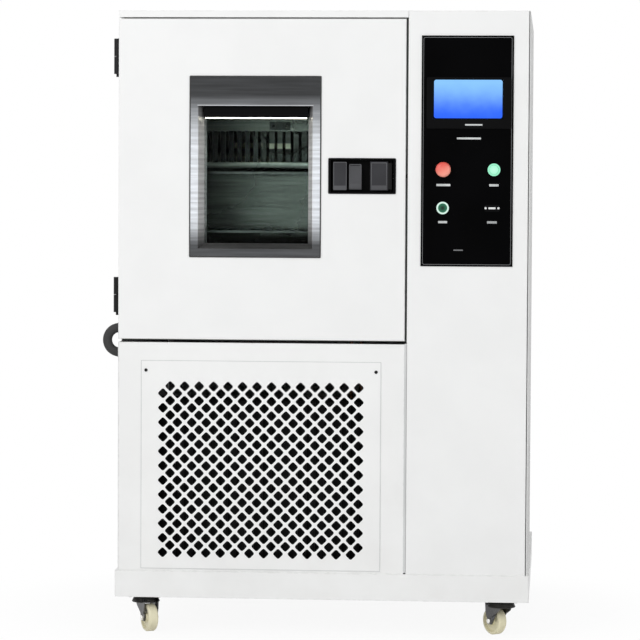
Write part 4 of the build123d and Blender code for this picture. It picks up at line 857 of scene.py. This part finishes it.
@dataclass
class VentGrille:
    """The sheet panel in the lower front, pierced with staggered diamonds whose corners are round."""

    pitch: float = 39.05 * MM
    row_pitch: float = 19.5 * MM
    rows: int = 24
    columns: int = 14
    side: float = 21.2 * MM
    corner: float = 4.8 * MM
    first_drop: float = 69.8 * MM
    edge_inset: float = 0.4 * MM
    edge_width: float = 1.6 * MM
    edge_relief: float = 0.1 * MM
    seam_drop: float = 2.2 * MM
    seam_relief: float = 0.8 * MM

    def tree(self) -> GeometryTree:
        """Builds the piercing tree.

        Returns:
            A tree that cuts rows of diamonds out of a sheet.
        """
        floats = ("Width", "Height", "Thickness", "Pitch", "Row Pitch", "Side", "Corner", "First Drop")
        inputs = {name: ("Float", 0.01) for name in floats}
        inputs |= {name: ("Int", 4) for name in ("Rows", "Columns")}
        inputs["Centre"] = ("Vector", (0.0, 0.0, 0.0))
        t = GeometryTree("pierced sheet", inputs)
        g = t.given
        index = t.add("GeometryNodeInputIndex").outputs[0]
        row = t.math("FLOOR", t.math("DIVIDE", t.math("ADD", index, 0.5), g["Columns"]))
        column = t.math("SUBTRACT", index, t.math("MULTIPLY", row, g["Columns"]))
        stagger = t.math("MULTIPLY", t.math("SUBTRACT", 1.0, t.math("MODULO", row, 2.0)), 0.5)
        middle = t.math("DIVIDE", t.math("SUBTRACT", g["Columns"], 0.5), 2.0)
        x = t.math("MULTIPLY", t.math("SUBTRACT", t.math("ADD", column, stagger), middle), g["Pitch"])
        top = t.math("SUBTRACT", t.math("MULTIPLY", g["Height"], 0.5), g["First Drop"])
        spot = t.combined(X=x, Z=t.math("SUBTRACT", top, t.math("MULTIPLY", row, g["Row Pitch"])))
        count = t.math("MULTIPLY", g["Rows"], g["Columns"])
        points = t.add("GeometryNodePoints", {"Count": count, "Position": spot})
        reach = t.math("MULTIPLY", g["Side"], math.sqrt(0.5))
        diamond = t.add("GeometryNodeCurvePrimitiveCircle", {"Resolution": 4, "Radius": reach}, mode="RADIUS")
        rounding = {"Curve": diamond.outputs[0], "Radius": g["Corner"], "Count": 3}
        rounded = t.add("GeometryNodeFilletCurve", rounding, mode="POLY")
        face = t.add("GeometryNodeFillCurve", {"Curve": rounded.outputs[0]}, mode="NGONS").outputs[0]
        deep = t.math("MULTIPLY", g["Thickness"], 4.0)
        push = {"Mesh": face, "Offset": t.combined(Z=deep), "Offset Scale": 1.0, "Individual": False}
        pushed = t.add("GeometryNodeExtrudeMesh", push, mode="FACES").outputs["Mesh"]
        back = t.add("GeometryNodeFlipFaces", {"Mesh": face}).outputs[0]
        open_prism = {"Geometry": t.joined(pushed, back), "Distance": 0.01 * MM}
        closed = t.add("GeometryNodeMergeByDistance", open_prism).outputs[0]
        centred = t.moved(closed, Translation=t.combined(Z=t.math("MULTIPLY", deep, -0.5)))
        upright = t.moved(centred, Rotation=(math.pi / 2, 0.0, 0.0))
        cutters = t.add("GeometryNodeInstanceOnPoints", {"Points": points.outputs[0], "Instance": upright})
        solid = t.add("GeometryNodeRealizeInstances", {"Geometry": cutters.outputs[0]})
        size = t.combined(X=g["Width"], Y=g["Thickness"], Z=g["Height"])
        meshes = {"Mesh 1": t.add("GeometryNodeMeshCube", {"Size": size}).outputs[0], "Mesh 2": solid.outputs[0]}
        pierced = t.add("GeometryNodeMeshBoolean", meshes, operation="DIFFERENCE", solver="EXACT")
        t.close(t.moved(pierced.outputs[0], Translation=g["Centre"]))
        return t

    def build(self) -> list[Piece]:
        """Makes the panel over its CAD node's box.

        Returns:
            The pierced panel, the grey ring round its edge that paints a shadow line, and the grey strip in the
            seam beside the control column that paints the seam's shade.
        """
        low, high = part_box("vent_grille_panel")
        width, height, middle = front_of("vent_grille_panel")
        values = {
            "Width": width, "Height": height, "Thickness": high.y - low.y, "Pitch": self.pitch,
            "Row Pitch": self.row_pitch, "Side": self.side, "Corner": self.corner, "First Drop": self.first_drop,
            "Rows": self.rows, "Columns": self.columns, "Centre": tuple((low + high) / 2),
        }
        panel = self.tree().grow("vent_grille", values, Finishes.LOWER.material("vent_grille_panel"))
        settle(panel, "cabinet")
        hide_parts("vent_grille_panel")
        # The grey ring round the panel paints its shadow line, and the grey strip below paints the shade in the
        # seam beside the column.
        outlines = [
            rounded_rectangle(width - inset, height - inset, 1 * MM)
            for inset in (self.edge_inset, self.edge_inset + 2 * self.edge_width)
        ]
        edge = flat_ring("grille_shade_line", *outlines, middle, self.edge_relief)
        column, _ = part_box("control_column_front")
        _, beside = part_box("lower_front_frame")
        gap = rounded_rectangle(column.x - beside.x, beside.z - low.z + 4 * MM, 0.2 * MM)
        centre = ((column.x + beside.x) / 2, low.y + self.seam_drop, (beside.z + low.z) / 2)
        seam = flat_plate("column_seam", gap, centre, self.seam_relief)
        return [panel, *(settle(made, "cabinet", Finishes.SEAM_SHADE) for made in (edge, seam))]


@dataclass
class Conduit:
    """The ribbed hose that carries the door's wiring round the hinge side.

    The ferrule's profile is in millimetres: how far it stands out from the side, and its radius.
    """

    tube: float = 12.5 * MM
    bend: float = 33.0 * MM
    rib: float = 5.2 * MM
    rib_depth: float = 0.16
    profile: tuple[tuple[float, float], ...] = (
        (0.0, 16.5), (1.2, 16.5), (2.0, 15.2), (4.0, 15.0), (4.0, 12.2), (0.0, 12.2),
    )
    flutes: int = 12
    flute_depth: float = 0.35
    fluted_above: float = 15.0

    def tree(self) -> GeometryTree:
        """Builds the hose tree.

        Returns:
            A tree that sweeps a ribbed round section along a half turn.
        """
        inputs = {name: ("Float", 0.01) for name in ("Tube", "Bend", "Rib", "Depth")}
        inputs["Centre"] = ("Vector", (0.0, 0.0, 0.0))
        t = GeometryTree("ribbed hose", inputs)
        g = t.given
        half_turn = {"Resolution": 121, "Radius": g["Bend"], "Start Angle": math.pi / 2, "Sweep Angle": math.pi}
        arc = t.add("GeometryNodeCurveArc", half_turn, mode="RADIUS")
        run = t.add("GeometryNodeSplineParameter").outputs["Length"]
        wave = t.math("COSINE", t.math("MULTIPLY", t.math("DIVIDE", run, g["Rib"]), 2.0 * math.pi))
        narrow = t.math("MULTIPLY", t.math("SUBTRACT", 1.0, wave), 0.5)
        shape = t.math("SUBTRACT", 1.0, t.math("MULTIPLY", t.math("POWER", narrow, 2.0), g["Depth"]))
        ribbed = t.add("GeometryNodeSetCurveRadius", {"Curve": arc.outputs[0], "Radius": shape})
        section = t.add("GeometryNodeCurvePrimitiveCircle", {"Resolution": 28, "Radius": g["Tube"]}, mode="RADIUS")
        sweep = {"Curve": ribbed.outputs[0], "Profile Curve": section.outputs[0], "Fill Caps": True}
        hose = t.add("GeometryNodeCurveToMesh", sweep).outputs[0]
        t.close(t.moved(t.moved(hose, Rotation=(math.pi / 2, 0.0, 0.0)), Translation=g["Centre"]))
        return t

    def build(self) -> list[Piece]:
        """Makes the hose and its two ferrules.

        Returns:
            The hose, the door's ferrule and the cabinet's ferrule.
        """
        low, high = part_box("door_conduit")
        centre = Vector((high.x, (low.y + high.y) / 2, (low.z + high.z) / 2))
        reach = Vector((0.0, 0.0, self.bend))
        values = {
            "Tube": self.tube, "Bend": self.bend, "Rib": self.rib, "Depth": self.rib_depth, "Centre": tuple(centre),
        }
        hose = self.tree().grow("conduit_hose", values, Finishes.RUBBER.material())
        recalculate(hose)
        smooth_by_angle(hose, 70.0)
        rings = [
            settle(self.ferrule(f"conduit_ferrule_{body}", place), body, Finishes.RUBBER)
            for body, place in (("door", centre + reach), ("cabinet", centre - reach))
        ]
        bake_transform(hose)
        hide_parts("door_conduit")
        return [hose, *rings]

    def ferrule(self, name: str, centre: Vector) -> Piece:
        """A stepped and fluted nut where the hose enters the side.

        Args:
            name: the piece's name.
            centre: its middle on the side panel.

        Returns:
            The piece.
        """
        sections = []
        for n in range(3 * self.flutes):
            angle = 2.0 * math.pi * n / (3 * self.flutes)
            flute = self.flute_depth if n % 3 == 0 else 0.0
            section = []
            for out, radius in self.profile:
                r = (radius - (flute if radius > self.fluted_above else 0.0)) * MM
                y, z = centre.y + r * math.cos(angle), centre.z + r * math.sin(angle)
                section.append((centre.x - out * MM, y, z))
            sections.append(section)
        piece = ring_of(name, sections)
        smooth_by_angle(piece, 40.0)
        return piece


@dataclass
class Fasteners:
    """Hex bolts under the caster plates, pan-head screws round the rear panel and nuts on the axles."""

    bolt_radius: float = 6.5 * MM
    bolt_height: float = 5.3 * MM
    bolt_level: float = 97.0 * MM
    plate_half: tuple[float, float] = (48.0 * MM, 34.0 * MM)
    bolt_half: tuple[float, float] = (39.0 * MM, 25.0 * MM)
    screw_radius: float = 4.2 * MM
    screw_height: float = 2.4 * MM
    screw_margin: float = 14.0 * MM
    screw_inset: float = 25.0 * MM
    rear_face: float = 525.0 * MM
    nut_radius: float = 7.5 * MM
    nut_height: float = 6.0 * MM
    nut_reach: float = 18.5 * MM
    caster_turns: tuple[tuple[str, float], ...] = tuple(zip(CORNERS, (-62.0, 130.0, 10.0, 205.0)))

    def tree(self) -> GeometryTree:
        """Builds the fastener tree.

        Returns:
            A tree that puts one chamfered head on every point of a mesh.
        """
        inputs = {name: ("Float", 0.005) for name in ("Radius", "Height")}
        inputs |= {"Sides": ("Int", 6), "Turn": ("Vector", (0.0, 0.0, 0.0))}
        t = GeometryTree("fastener heads", inputs)
        g = t.given
        straight = t.math("MULTIPLY", g["Height"], 0.7)
        cones = []
        for top, depth in ((g["Radius"], straight),
                           (t.math("MULTIPLY", g["Radius"], 0.72), t.math("MULTIPLY", g["Height"], 0.3))):
            shape = {"Vertices": g["Sides"], "Radius Bottom": g["Radius"], "Radius Top": top, "Depth": depth}
            cones.append(t.add("GeometryNodeMeshCone", shape).outputs[0])
        drum, crown = cones
        head = t.joined(drum, t.moved(crown, Translation=t.combined(Z=straight)))
        points = t.add("GeometryNodeMeshToPoints", {"Mesh": g["Geometry"]})
        spread = {"Points": points.outputs[0], "Instance": t.moved(head, Rotation=g["Turn"])}
        t.close(t.add("GeometryNodeInstanceOnPoints", spread).outputs[0])
        return t

    def heads(self, tree: GeometryTree, name: str, sizes: tuple[float, float, int], turn: Point, spots: list[Point],
              finish: Finish, body: str) -> Piece:
        """Puts heads on some spots.

        Args:
            tree: the fastener tree.
            name: the piece's name.
            sizes: a head's radius, its height and how many sides it has.
            turn: how it is turned.
            spots: where the heads sit.
            finish: their finish.
            body: the body that they ride on.

        Returns:
            The heads as one piece.
        """
        values = {"Radius": sizes[0], "Height": sizes[1], "Sides": sizes[2], "Turn": turn}
        piece = tree.grow(name, values, finish.material(), new_piece(name + "_spots", spots, []))
        smooth_by_angle(piece, 30.0)
        return settle(piece, body)

    def build(self) -> list[Piece]:
        """Makes all heads.

        Returns:
            The caster bolts, the rear screws and the axle nuts.
        """
        tree = self.tree()
        low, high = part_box("caster_plates")
        (plate_x, plate_y), (bolt_x, bolt_y) = self.plate_half, self.bolt_half
        spots = []
        for x in (low.x + plate_x, high.x - plate_x):
            for y in (low.y + plate_y, high.y - plate_y):
                spots += [(x + a * bolt_x, y + b * bolt_y, self.bolt_level) for a in (-1, 1) for b in (-1, 1)]
        bolt, screw = (self.bolt_radius, self.bolt_height, 6), (self.screw_radius, self.screw_height, 20)
        bolts = self.heads(tree, "caster_bolts", bolt, (math.pi, 0.0, 0.0), spots, Finishes.ZINC, "cabinet")
        low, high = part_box("rear_panel")
        margin, inset, y = self.screw_margin, self.screw_inset, self.rear_face
        spots = []
        for n in range(7):
            z = low.z + inset + n * (high.z - low.z - 2 * inset) / 6
            spots += [(low.x + margin, y, z), (high.x - margin, y, z)]
        for n in range(1, 5):
            x = low.x + margin + n * (high.x - low.x - 2 * margin) / 5
            spots += [(x, y, low.z + margin), (x, y, high.z - margin)]
        screws = self.heads(tree, "rear_screws", screw, (-math.pi / 2, 0.0, 0.0), spots, Finishes.ZINC, "cabinet")
        return [bolts, screws, *self.axle_nuts(tree)]

    def axle_nuts(self, tree: GeometryTree) -> list[Piece]:
        """Makes the nuts at both ends of each caster's axle.

        Args:
            tree: the fastener tree.

        Returns:
            Two nuts for each caster.
        """
        nuts = []
        sizes = (self.nut_radius, self.nut_height, 6)
        for corner, degrees in self.caster_turns:
            turn = math.radians(degrees)
            low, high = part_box(f"caster_wheel_{corner}")
            across = Vector((-math.sin(turn), math.cos(turn), 0.0))
            for label, side in SIDES:
                spot = tuple((low + high) / 2 + across * side * self.nut_reach)
                nuts.append(self.heads(tree, f"axle_nut_{corner}_{label}", sizes, (-side * math.pi / 2, 0.0, turn),
                                       [spot], Finishes.NUT, f"caster_fork_{corner}"))
        return nuts


@dataclass(frozen=True)
class Print:
    """One printed strip or mark: its middle in X and Z, its size and its corner radius, in millimetres."""

    x: float
    z: float
    width: float
    height: float
    corner: float = 0.8
    node: str = "control_panel_plate"
    finish: Finish = Finishes.LABEL


@dataclass
class ControlFace:
    """What is printed and lit on the control panel: the fine line, which is a painted highlight on the bezel's
    inner edge, blank label strips, marks and lit rings.
    """

    line_inset: float = 4.5 * MM
    line_width: float = 1.1 * MM
    line_relief: float = 0.12 * MM
    print_relief: float = 0.1 * MM
    screen_border: float = 1.5 * MM
    screen_corner: float = 6.0 * MM
    screen_relief: float = 0.15 * MM
    ring_width: float = 4.4 * MM
    ring_relief: float = 0.5 * MM
    prints: tuple[Print, ...] = (
        Print(424.0, 1373.0, 46.0, 4.0, node="touch_screen"),
        Print(411.2, 1337.0, 64.0, 5.0),
        Print(344.2, 1213.0, 37.0, 6.0),
        Print(478.5, 1213.0, 25.0, 6.0),
        Print(342.9, 1114.5, 24.0, 6.0),
        Print(473.9, 1114.5, 26.0, 6.0),
        Print(384.7, 1040.0, 25.0, 3.0, finish=Finishes.LINE_PRINT_AND_HIGHLIGHT),
        Print(473.9, 1152.0, 19.0, 5.0, 1.5, "button_bodies", Finishes.PRINT),
        Print(456.9, 1152.0, 6.0, 6.0, 2.9, "button_bodies", Finishes.PRINT),
        Print(490.9, 1152.0, 6.0, 6.0, 2.9, "button_bodies", Finishes.PRINT),
    )

    def face(self, node: str, x: float, z: float) -> float:
        """How far to the front a CAD node reaches at one place.

        Args:
            node: the node.
            x: the place across, in metres.
            z: the place's height, in metres.

        Returns:
            The Y of the first surface that a ray from the front meets.
        """
        mesh = frame["nodes"][node].data
        found = [
            polygon.center.y for polygon in mesh.polygons
            if polygon.normal.y < -0.99 and self.covers(mesh, polygon, x, z)
        ]
        return min(found, default=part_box(node)[0].y)

    @staticmethod
    def covers(mesh: bpy.types.Mesh, polygon: bpy.types.MeshPolygon, x: float, z: float) -> bool:
        """Whether a polygon's outline in X and Z holds a point.

        Args:
            mesh: the polygon's mesh.
            polygon: the polygon.
            x: the point across.
            z: the point's height.

        Returns:
            True where the point lies inside.
        """
        corners = [mesh.vertices[n].co for n in polygon.vertices]
        inside = False
        for first, second in zip(corners, corners[1:] + corners[:1]):
            if (first.z > z) != (second.z > z):
                crossing = first.x + (z - first.z) / (second.z - first.z) * (second.x - first.x)
                inside ^= crossing > x
        return inside

    def build(self) -> list[Piece]:
        """Makes the printed and lit pieces.

        Returns:
            The line, the display's border, the strips and marks, and the two lit rings.
        """
        width, height, centre = front_of("control_panel_plate")
        width, height = width - 2 * self.line_inset, height - 2 * self.line_inset
        outer = rounded_rectangle(width, height, 5 * MM)
        inner = rounded_rectangle(width - 2 * self.line_width, height - 2 * self.line_width, 4 * MM)
        # The fine line is a painted highlight, the light caught by the bezel's inner edge.
        line = flat_ring("panel_line", outer, inner, centre, self.line_relief)
        pieces = [(line, Finishes.LINE_PRINT_AND_HIGHLIGHT), (self.screen_edge(), Finishes.PANEL)]
        for n, strip in enumerate(self.prints):
            x, z = strip.x * MM, strip.z * MM
            outline = rounded_rectangle(strip.width * MM, strip.height * MM, strip.corner * MM, 3)
            place = (x, self.face(strip.node, x, z), z)
            pieces.append((flat_plate(f"print_{n + 1}", outline, place, self.print_relief), strip.finish))
        start, light = self.middle("start_button"), self.middle("light_button")
        rings = (
            ("start_button", 12.4 * MM,
             Glow("start_ring", (0.4, 0.95, 0.66), (0.33, 0.9, 0.6), 0.85, start, 17 * MM)),
            ("light_button", 12.2 * MM,
             Glow("light_ring", (0.5, 0.85, 0.68), (0.72, 0.93, 0.83), 0.85, light, 17 * MM)),
        )
        pieces += [(self.lit_ring(node, inner_radius), glow) for node, inner_radius, glow in rings]
        return [settle(piece, "cabinet", finish) for piece, finish in pieces]

    def lit_ring(self, node: str, inner: float) -> Piece:
        """The lit ring on a button's collar.

        Args:
            node: the button that it surrounds.
            inner: its inner radius.

        Returns:
            The piece.
        """
        x, _, z = self.middle(node)
        steps = [2.0 * math.pi * n / 48 for n in range(48)]
        around = [[(r * math.cos(a), r * math.sin(a)) for a in steps] for r in (inner + self.ring_width, inner)]
        front = self.face("button_bodies", x + (inner + 0.4 * MM), z + 0.1 * MM)
        return flat_ring(f"{node}_ring", *around, (x, front, z), self.ring_relief)

    def screen_edge(self) -> Piece:
        """The black border that rounds the display's corners.

        Returns:
            The piece.
        """
        width, height, centre = front_of("screen_glass")
        border = 2 * self.screen_border
        outer = rounded_rectangle(width, height, 0.5 * MM)
        inner = rounded_rectangle(width - border, height - border, self.screen_corner)
        return flat_ring("screen_edge", outer, inner, centre, self.screen_relief)

    def glows(self) -> dict[str, Glow]:
        """The lit finishes by CAD node.

        Returns:
            One glow for the display and for each lit button.
        """
        low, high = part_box("screen_glass")
        start, light = self.middle("start_button"), self.middle("light_button")
        return {
            "screen_glass": Glow("display", (0.012, 0.12, 0.98), (0.24, 0.55, 0.98), 0.9, tuple(low),
                                 high.z - low.z, upright=True, roughness=0.3),
            "start_button": Glow("start_lens", (0.5, 0.95, 0.72), (0.38, 0.93, 0.65), 0.9, start, 13 * MM),
            "light_button": Glow("light_lens", (0.003, 0.02, 0.01), (0.02, 0.2, 0.1), 0.7, light, 13.5 * MM),
        }

    def middle(self, node: str) -> Point:
        """The middle of a CAD node's box."""
        low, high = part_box(node)
        return tuple((low + high) / 2)


@dataclass
class DoorTrim:
    """The black ring and the dark band round the window, the ring a painted shadow gap and the band darkened by
    painted shade, and the raised edges of the latch's mouldings, lighter grey as a painted highlight.
    """

    skin_drop: float = 1.2 * MM
    shade_ring_width: float = 3.1 * MM
    shade_ring_gap: float = 0.1 * MM
    shade_ring_relief: float = 1.6 * MM
    band_low: float = 1421.6 * MM
    band_high: float = 1480.2 * MM
    band_half: float = 155.4 * MM
    band_relief: float = 1.15 * MM
    band_lip: float = 2.4 * MM
    band_lip_relief: float = 0.6 * MM
    rim: float = 5.0 * MM
    lip: float = 9.0 * MM
    relief: float = 0.7 * MM
    lock_reach: tuple[float, float] = (13.0 * MM, 50.0 * MM)
    lever_reach: tuple[float, float] = (2.0 * MM, 46.0 * MM)
    lock_face_inset: float = 3.2 * MM
    lock_face_height: float = 70.0 * MM
    lock_face_relief: float = 0.3 * MM

    def build(self) -> list[Piece]:
        """Makes the trim.

        Returns:
            The black ring that paints the shadow gap round the frame, the band with its lip, and the edges of the
            lock block, the button and the lever.
        """
        width, height, (x, front, z) = front_of("window_frame")
        skin = front + self.skin_drop
        gap, span = 2 * self.shade_ring_gap, 2 * (self.shade_ring_gap + self.shade_ring_width)
        outer = rounded_rectangle(width + span, height + span, 3 * MM)
        inner = rounded_rectangle(width + gap, height + gap, 0.5 * MM)
        # A black ring round the frame's flange, which paints the shadow gap at its edge.
        shade_ring = flat_ring("window_shade_ring", outer, inner, (x, skin, z), self.shade_ring_relief)
        # The band closes the recess above the window, and the frame's finish paints it dark as shade.
        outline = rounded_rectangle(2 * self.band_half, self.band_high - self.band_low, 0.4 * MM)
        band = flat_plate("lamp_band", outline, (x, skin, (self.band_low + self.band_high) / 2), self.band_relief)
        strip = rounded_rectangle(2 * self.band_half, self.band_lip, 0.4 * MM)
        foot = (x, skin - self.band_relief, self.band_low + self.band_lip / 2)
        lip = flat_plate("lamp_band_lip", strip, foot, self.band_lip_relief)
        settle(shade_ring, "door", Finishes.RUBBER)
        settle(band, "door", Finishes.FRAME)
        settle(lip, "door", Finishes.STEEL)
        return [shade_ring, band, lip, *self.latch_edges()]

    def latch_edges(self) -> list[Piece]:
        """The raised rim and the lower lip of each moulding in the latch, and the lock block's face.

        Returns:
            Two pieces for each of the three mouldings, and the face.
        """
        _, _, (_, _, middle) = front_of("latch_housing")
        housing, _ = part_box("latch_housing")
        button, button_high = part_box("latch_button")
        lever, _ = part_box("latch_lever")
        lock = [housing.x + reach for reach in self.lock_reach]
        blocks = (
            ("lock_block", "door", lock, 76 * MM, housing.y),
            ("latch_button", "latch_button", (button.x, button_high.x), 64.5 * MM, button.y),
            ("latch_lever", "latch_lever", [lever.x + reach for reach in self.lever_reach], 74 * MM, lever.y),
        )
        pieces = []
        for name, body, (x0, x1), height, y in blocks:
            width, x = x1 - x0 - 1 * MM, (x0 + x1) / 2
            outer = rounded_rectangle(width, height - 1 * MM, 2 * MM)
            inner = rounded_rectangle(width - self.rim, height - 1 * MM - self.rim, 1 * MM)
            bar = rounded_rectangle(width - self.rim - 0.2 * MM, self.lip, 1 * MM)
            foot = middle - height / 2 + self.rim / 2 + self.lip / 2 + 0.7 * MM
            ring = flat_ring(f"{name}_rim", outer, inner, (x, y, middle), self.relief)
            lip = flat_plate(f"{name}_lip", bar, (x, y, foot), self.relief * 0.8)
            # The rims and lips are lighter grey as a painted highlight.
            pieces += [settle(piece, body, Finishes.EDGE_HIGHLIGHT) for piece in (ring, lip)]
        inset = rounded_rectangle(lock[1] - lock[0] - 2 * self.lock_face_inset, self.lock_face_height, 1 * MM)
        place = ((lock[0] + lock[1]) / 2, housing.y, middle)
        face = flat_plate("lock_block_face", inset, place, self.lock_face_relief)
        return [*pieces, settle(face, "door", Finishes.LEVER)]


@dataclass
class CasterTrim:
    """The bearing hood and the outer cheeks of each caster's fork, in millimetres about its swivel axis."""

    hood: tuple[tuple[float, float], ...] = (
        (25.4, 91.0), (31.0, 91.0), (34.5, 87.0), (38.0, 79.0), (36.5, 77.4), (25.4, 77.4),
    )
    cheek: tuple[tuple[float, float], ...] = (
        (-27.0, 90.0), (44.0, 90.0), (42.0, 62.0), (37.0, 47.5), (18.0, 47.5), (-14.0, 68.0),
    )
    cheek_faces: tuple[float, float] = (18.7, 21.2)
    trail: float = 28.0

    def build(self) -> list[Piece]:
        """Makes the trim of all casters.

        Returns:
            A hood and two cheeks for each caster.
        """
        pieces = []
        for corner, degrees in Fasteners.caster_turns:
            turn = math.radians(degrees)
            along = Vector((math.cos(turn), math.sin(turn), 0.0))
            across = Vector((-along.y, along.x, 0.0))
            low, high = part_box(f"caster_wheel_{corner}")
            axis = (low + high) / 2 - along * self.trail * MM
            axis.z = 0.0
            body = f"caster_fork_{corner}"
            made = [settle(self.ring(f"caster_hood_{corner}", axis), body, Finishes.BLACKENED)]
            for label, side in SIDES:
                cheek = self.plate(f"caster_cheek_{corner}_{label}", axis, along, across * side)
                made.append(settle(cheek, body, Finishes.FORK))
            for piece in made:
                smooth_by_angle(piece, 30.0)
            pieces += made
        return pieces

    def ring(self, name: str, axis: Vector) -> Piece:
        """Turns the hood's profile about the swivel axis.

        Args:
            name: the piece's name.
            axis: the foot of the swivel axis.

        Returns:
            The hood.
        """
        sections = []
        for n in range(40):
            angle = 2.0 * math.pi * n / 40
            way = Vector((math.cos(angle), math.sin(angle), 0.0))
            sections.append([tuple(axis + (way * r + Vector((0.0, 0.0, z))) * MM) for r, z in self.hood])
        return ring_of(name, sections)

    def plate(self, name: str, axis: Vector, along: Vector, across: Vector) -> Piece:
        """A cheek outside one leg of the fork.

        Args:
            name: the piece's name.
            axis: the foot of the swivel axis.
            along: the way from the axis to the wheel.
            across: the way from the wheel to this leg.

        Returns:
            The cheek.
        """
        near, far = (
            [tuple(axis + (along * u + across * v + Vector((0.0, 0.0, z))) * MM) for u, z in self.cheek]
            for v in self.cheek_faces
        )
        return prism(name, near, far)


class Dressing:
    """Gives every CAD node that stays its finish."""

    def build(self, glows: dict[str, Glow]) -> int:
        """Puts a material on each node.

        Args:
            glows: lit finishes by node.

        Returns:
            How many nodes were dressed.
        """
        lamp = Glow("lamp_light", (1.0, 0.98, 0.86), (1.0, 0.95, 0.78), 7.0, reach=3.0, body=(0.9, 0.9, 0.85))
        special = {**glows, "lamp_tube": lamp, "window_glass": Glass()}
        slots = {part["node"]: part["material_slot"] for part in frame["record"]["subparts"]}
        for name, node in frame["nodes"].items():
            if name in special:
                material = special[name].material()
            else:
                material = (Finishes.BY_NODE.get(name) or Finishes.BY_SLOT[slots[name]]).material(name)
            node.data.materials.clear()
            node.data.materials.append(material)
        return len(frame["nodes"])


@dataclass
class Studio:
    """The pale floor, the soft light and the camera."""

    eye: Point = (0.63996, -8.525, 1.19607)
    yaw: float = 0.07772
    pitch: float = 0.0430
    roll: float = 0.00535
    focal_pixels: float = 3003.9
    picture: int = 640
    sensor: float = 36.0
    floor_half: float = 9.0
    world_level: float = 0.57
    aim: Point = (0.0, 0.0, 0.85)

    def camera(self) -> None:
        """Puts the camera where the photograph was taken."""
        forward = Vector((
            -math.sin(self.yaw) * math.cos(self.pitch),
            math.cos(self.yaw) * math.cos(self.pitch),
            -math.sin(self.pitch),
        ))
        level = Vector((math.cos(self.yaw), math.sin(self.yaw), 0.0))
        above = level.cross(forward)
        across = level * math.cos(self.roll) + above * math.sin(self.roll)
        up = above * math.cos(self.roll) - level * math.sin(self.roll)
        data = bpy.data.cameras.new("camera")
        data.sensor_width = self.sensor
        data.lens = self.focal_pixels / self.picture * self.sensor
        data.clip_end = 60.0
        camera = bpy.data.objects.new("camera", data)
        turn = Matrix((across, up, -forward)).transposed().to_4x4()
        camera.matrix_world = Matrix.Translation(self.eye) @ turn
        bpy.context.scene.collection.objects.link(camera)
        bpy.context.scene.camera = camera

    def seen(self, tree: Tree) -> Socket:
        """A mask of the rays that show the background.

        Args:
            tree: the tree that gets the nodes.

        Returns:
            1 for camera, glossy and transmission rays, and 0 for the others.
        """
        path = tree.add("ShaderNodeLightPath").outputs
        first = tree.math("ADD", path["Is Camera Ray"], path["Is Glossy Ray"])
        return tree.math("ADD", first, path["Is Transmission Ray"], clamp=True)

    def world(self) -> None:
        """A white surround, a little lower for the light that it sheds."""
        world = bpy.data.worlds.new("surround")
        world.use_nodes = True
        bpy.context.scene.world = world
        tree = Tree(world.node_tree)
        level = tree.ramp(self.seen(tree), 0.0, 1.0, (self.world_level, 1.0))
        tree.fill(world.node_tree.nodes["Background"], {"Color": rgba(BRIGHT), "Strength": level})

    def floor_nodes(self, tree: Tree, shader: bpy.types.Node, place: Socket) -> None:
        """Adds the floor's nodes: plain near the chamber, white to the camera farther away.

        Args:
            tree: the material's tree.
            shader: its Principled shader.
            place: its Object coordinates.
        """
        tree.fill(shader, {"Base Color": (0.9, 0.9, 0.9, 1.0), "Roughness": 0.8})
        away = tree.measure("LENGTH", place)
        white = tree.math("MULTIPLY", tree.ramp(away, 0.6, 1.15, (0.92, 1.0)), self.seen(tree))
        glow = tree.add("ShaderNodeEmission", {"Color": rgba(BRIGHT), "Strength": 1.0})
        mix = tree.add("ShaderNodeMixShader", {0: white, 1: shader.outputs[0], 2: glow.outputs[0]})
        tree.fill(tree.tree.nodes["Material Output"], {"Surface": mix.outputs[0]})

    def floor(self) -> None:
        """A plain floor that is white to the camera and keeps the chamber's shadow near it."""
        s = self.floor_half
        floor = new_piece("floor", [(-s, -s, 0.0), (s, -s, 0.0), (s, s, 0.0), (-s, s, 0.0)], [(0, 1, 2, 3)])
        floor.data.materials.append(shared_material("pale_floor", self.floor_nodes))

    def lamp(self, name: str, place: Point, size: float, watts: float) -> None:
        """Adds a soft square lamp that points at the chamber's middle.

        Args:
            name: the lamp's name.
            place: where it hangs.
            size: its side in metres.
            watts: its power.
        """
        data = bpy.data.lights.new(name, "AREA")
        data.shape = "SQUARE"
        data.size = size
        data.energy = watts
        lamp = bpy.data.objects.new(name, data)
        turn = (Vector(self.aim) - Vector(place)).to_track_quat("-Z", "Y").to_matrix().to_4x4()
        lamp.matrix_world = Matrix.Translation(place) @ turn
        bpy.context.scene.collection.objects.link(lamp)

    def build(self) -> None:
        """Sets the whole stage."""
        self.camera()
        self.world()
        self.floor()
        self.lamp("key", place=(-2.8, -4.6, 3.4), size=2.6, watts=102.0)
        self.lamp("fill", place=(3.6, -4.2, 2.2), size=3.0, watts=46.0)
        bpy.context.scene.view_settings.view_transform = "Standard"


def main() -> None:
    """Builds the chamber's looks in order and reports each piece."""
    logging.basicConfig(level=logging.INFO, format="%(name)s: %(message)s")
    Studio().build()
    controls = ControlFace()
    for builder in (VentGrille(), Conduit(), Fasteners(), DoorTrim(), CasterTrim(), controls):
        for piece in builder.build():
            LOG.info("%s: %d faces", piece.name, len(piece.data.polygons))
    LOG.info("finished %d nodes", Dressing().build(controls.glows()))


if __name__ == "__main__":
    main()
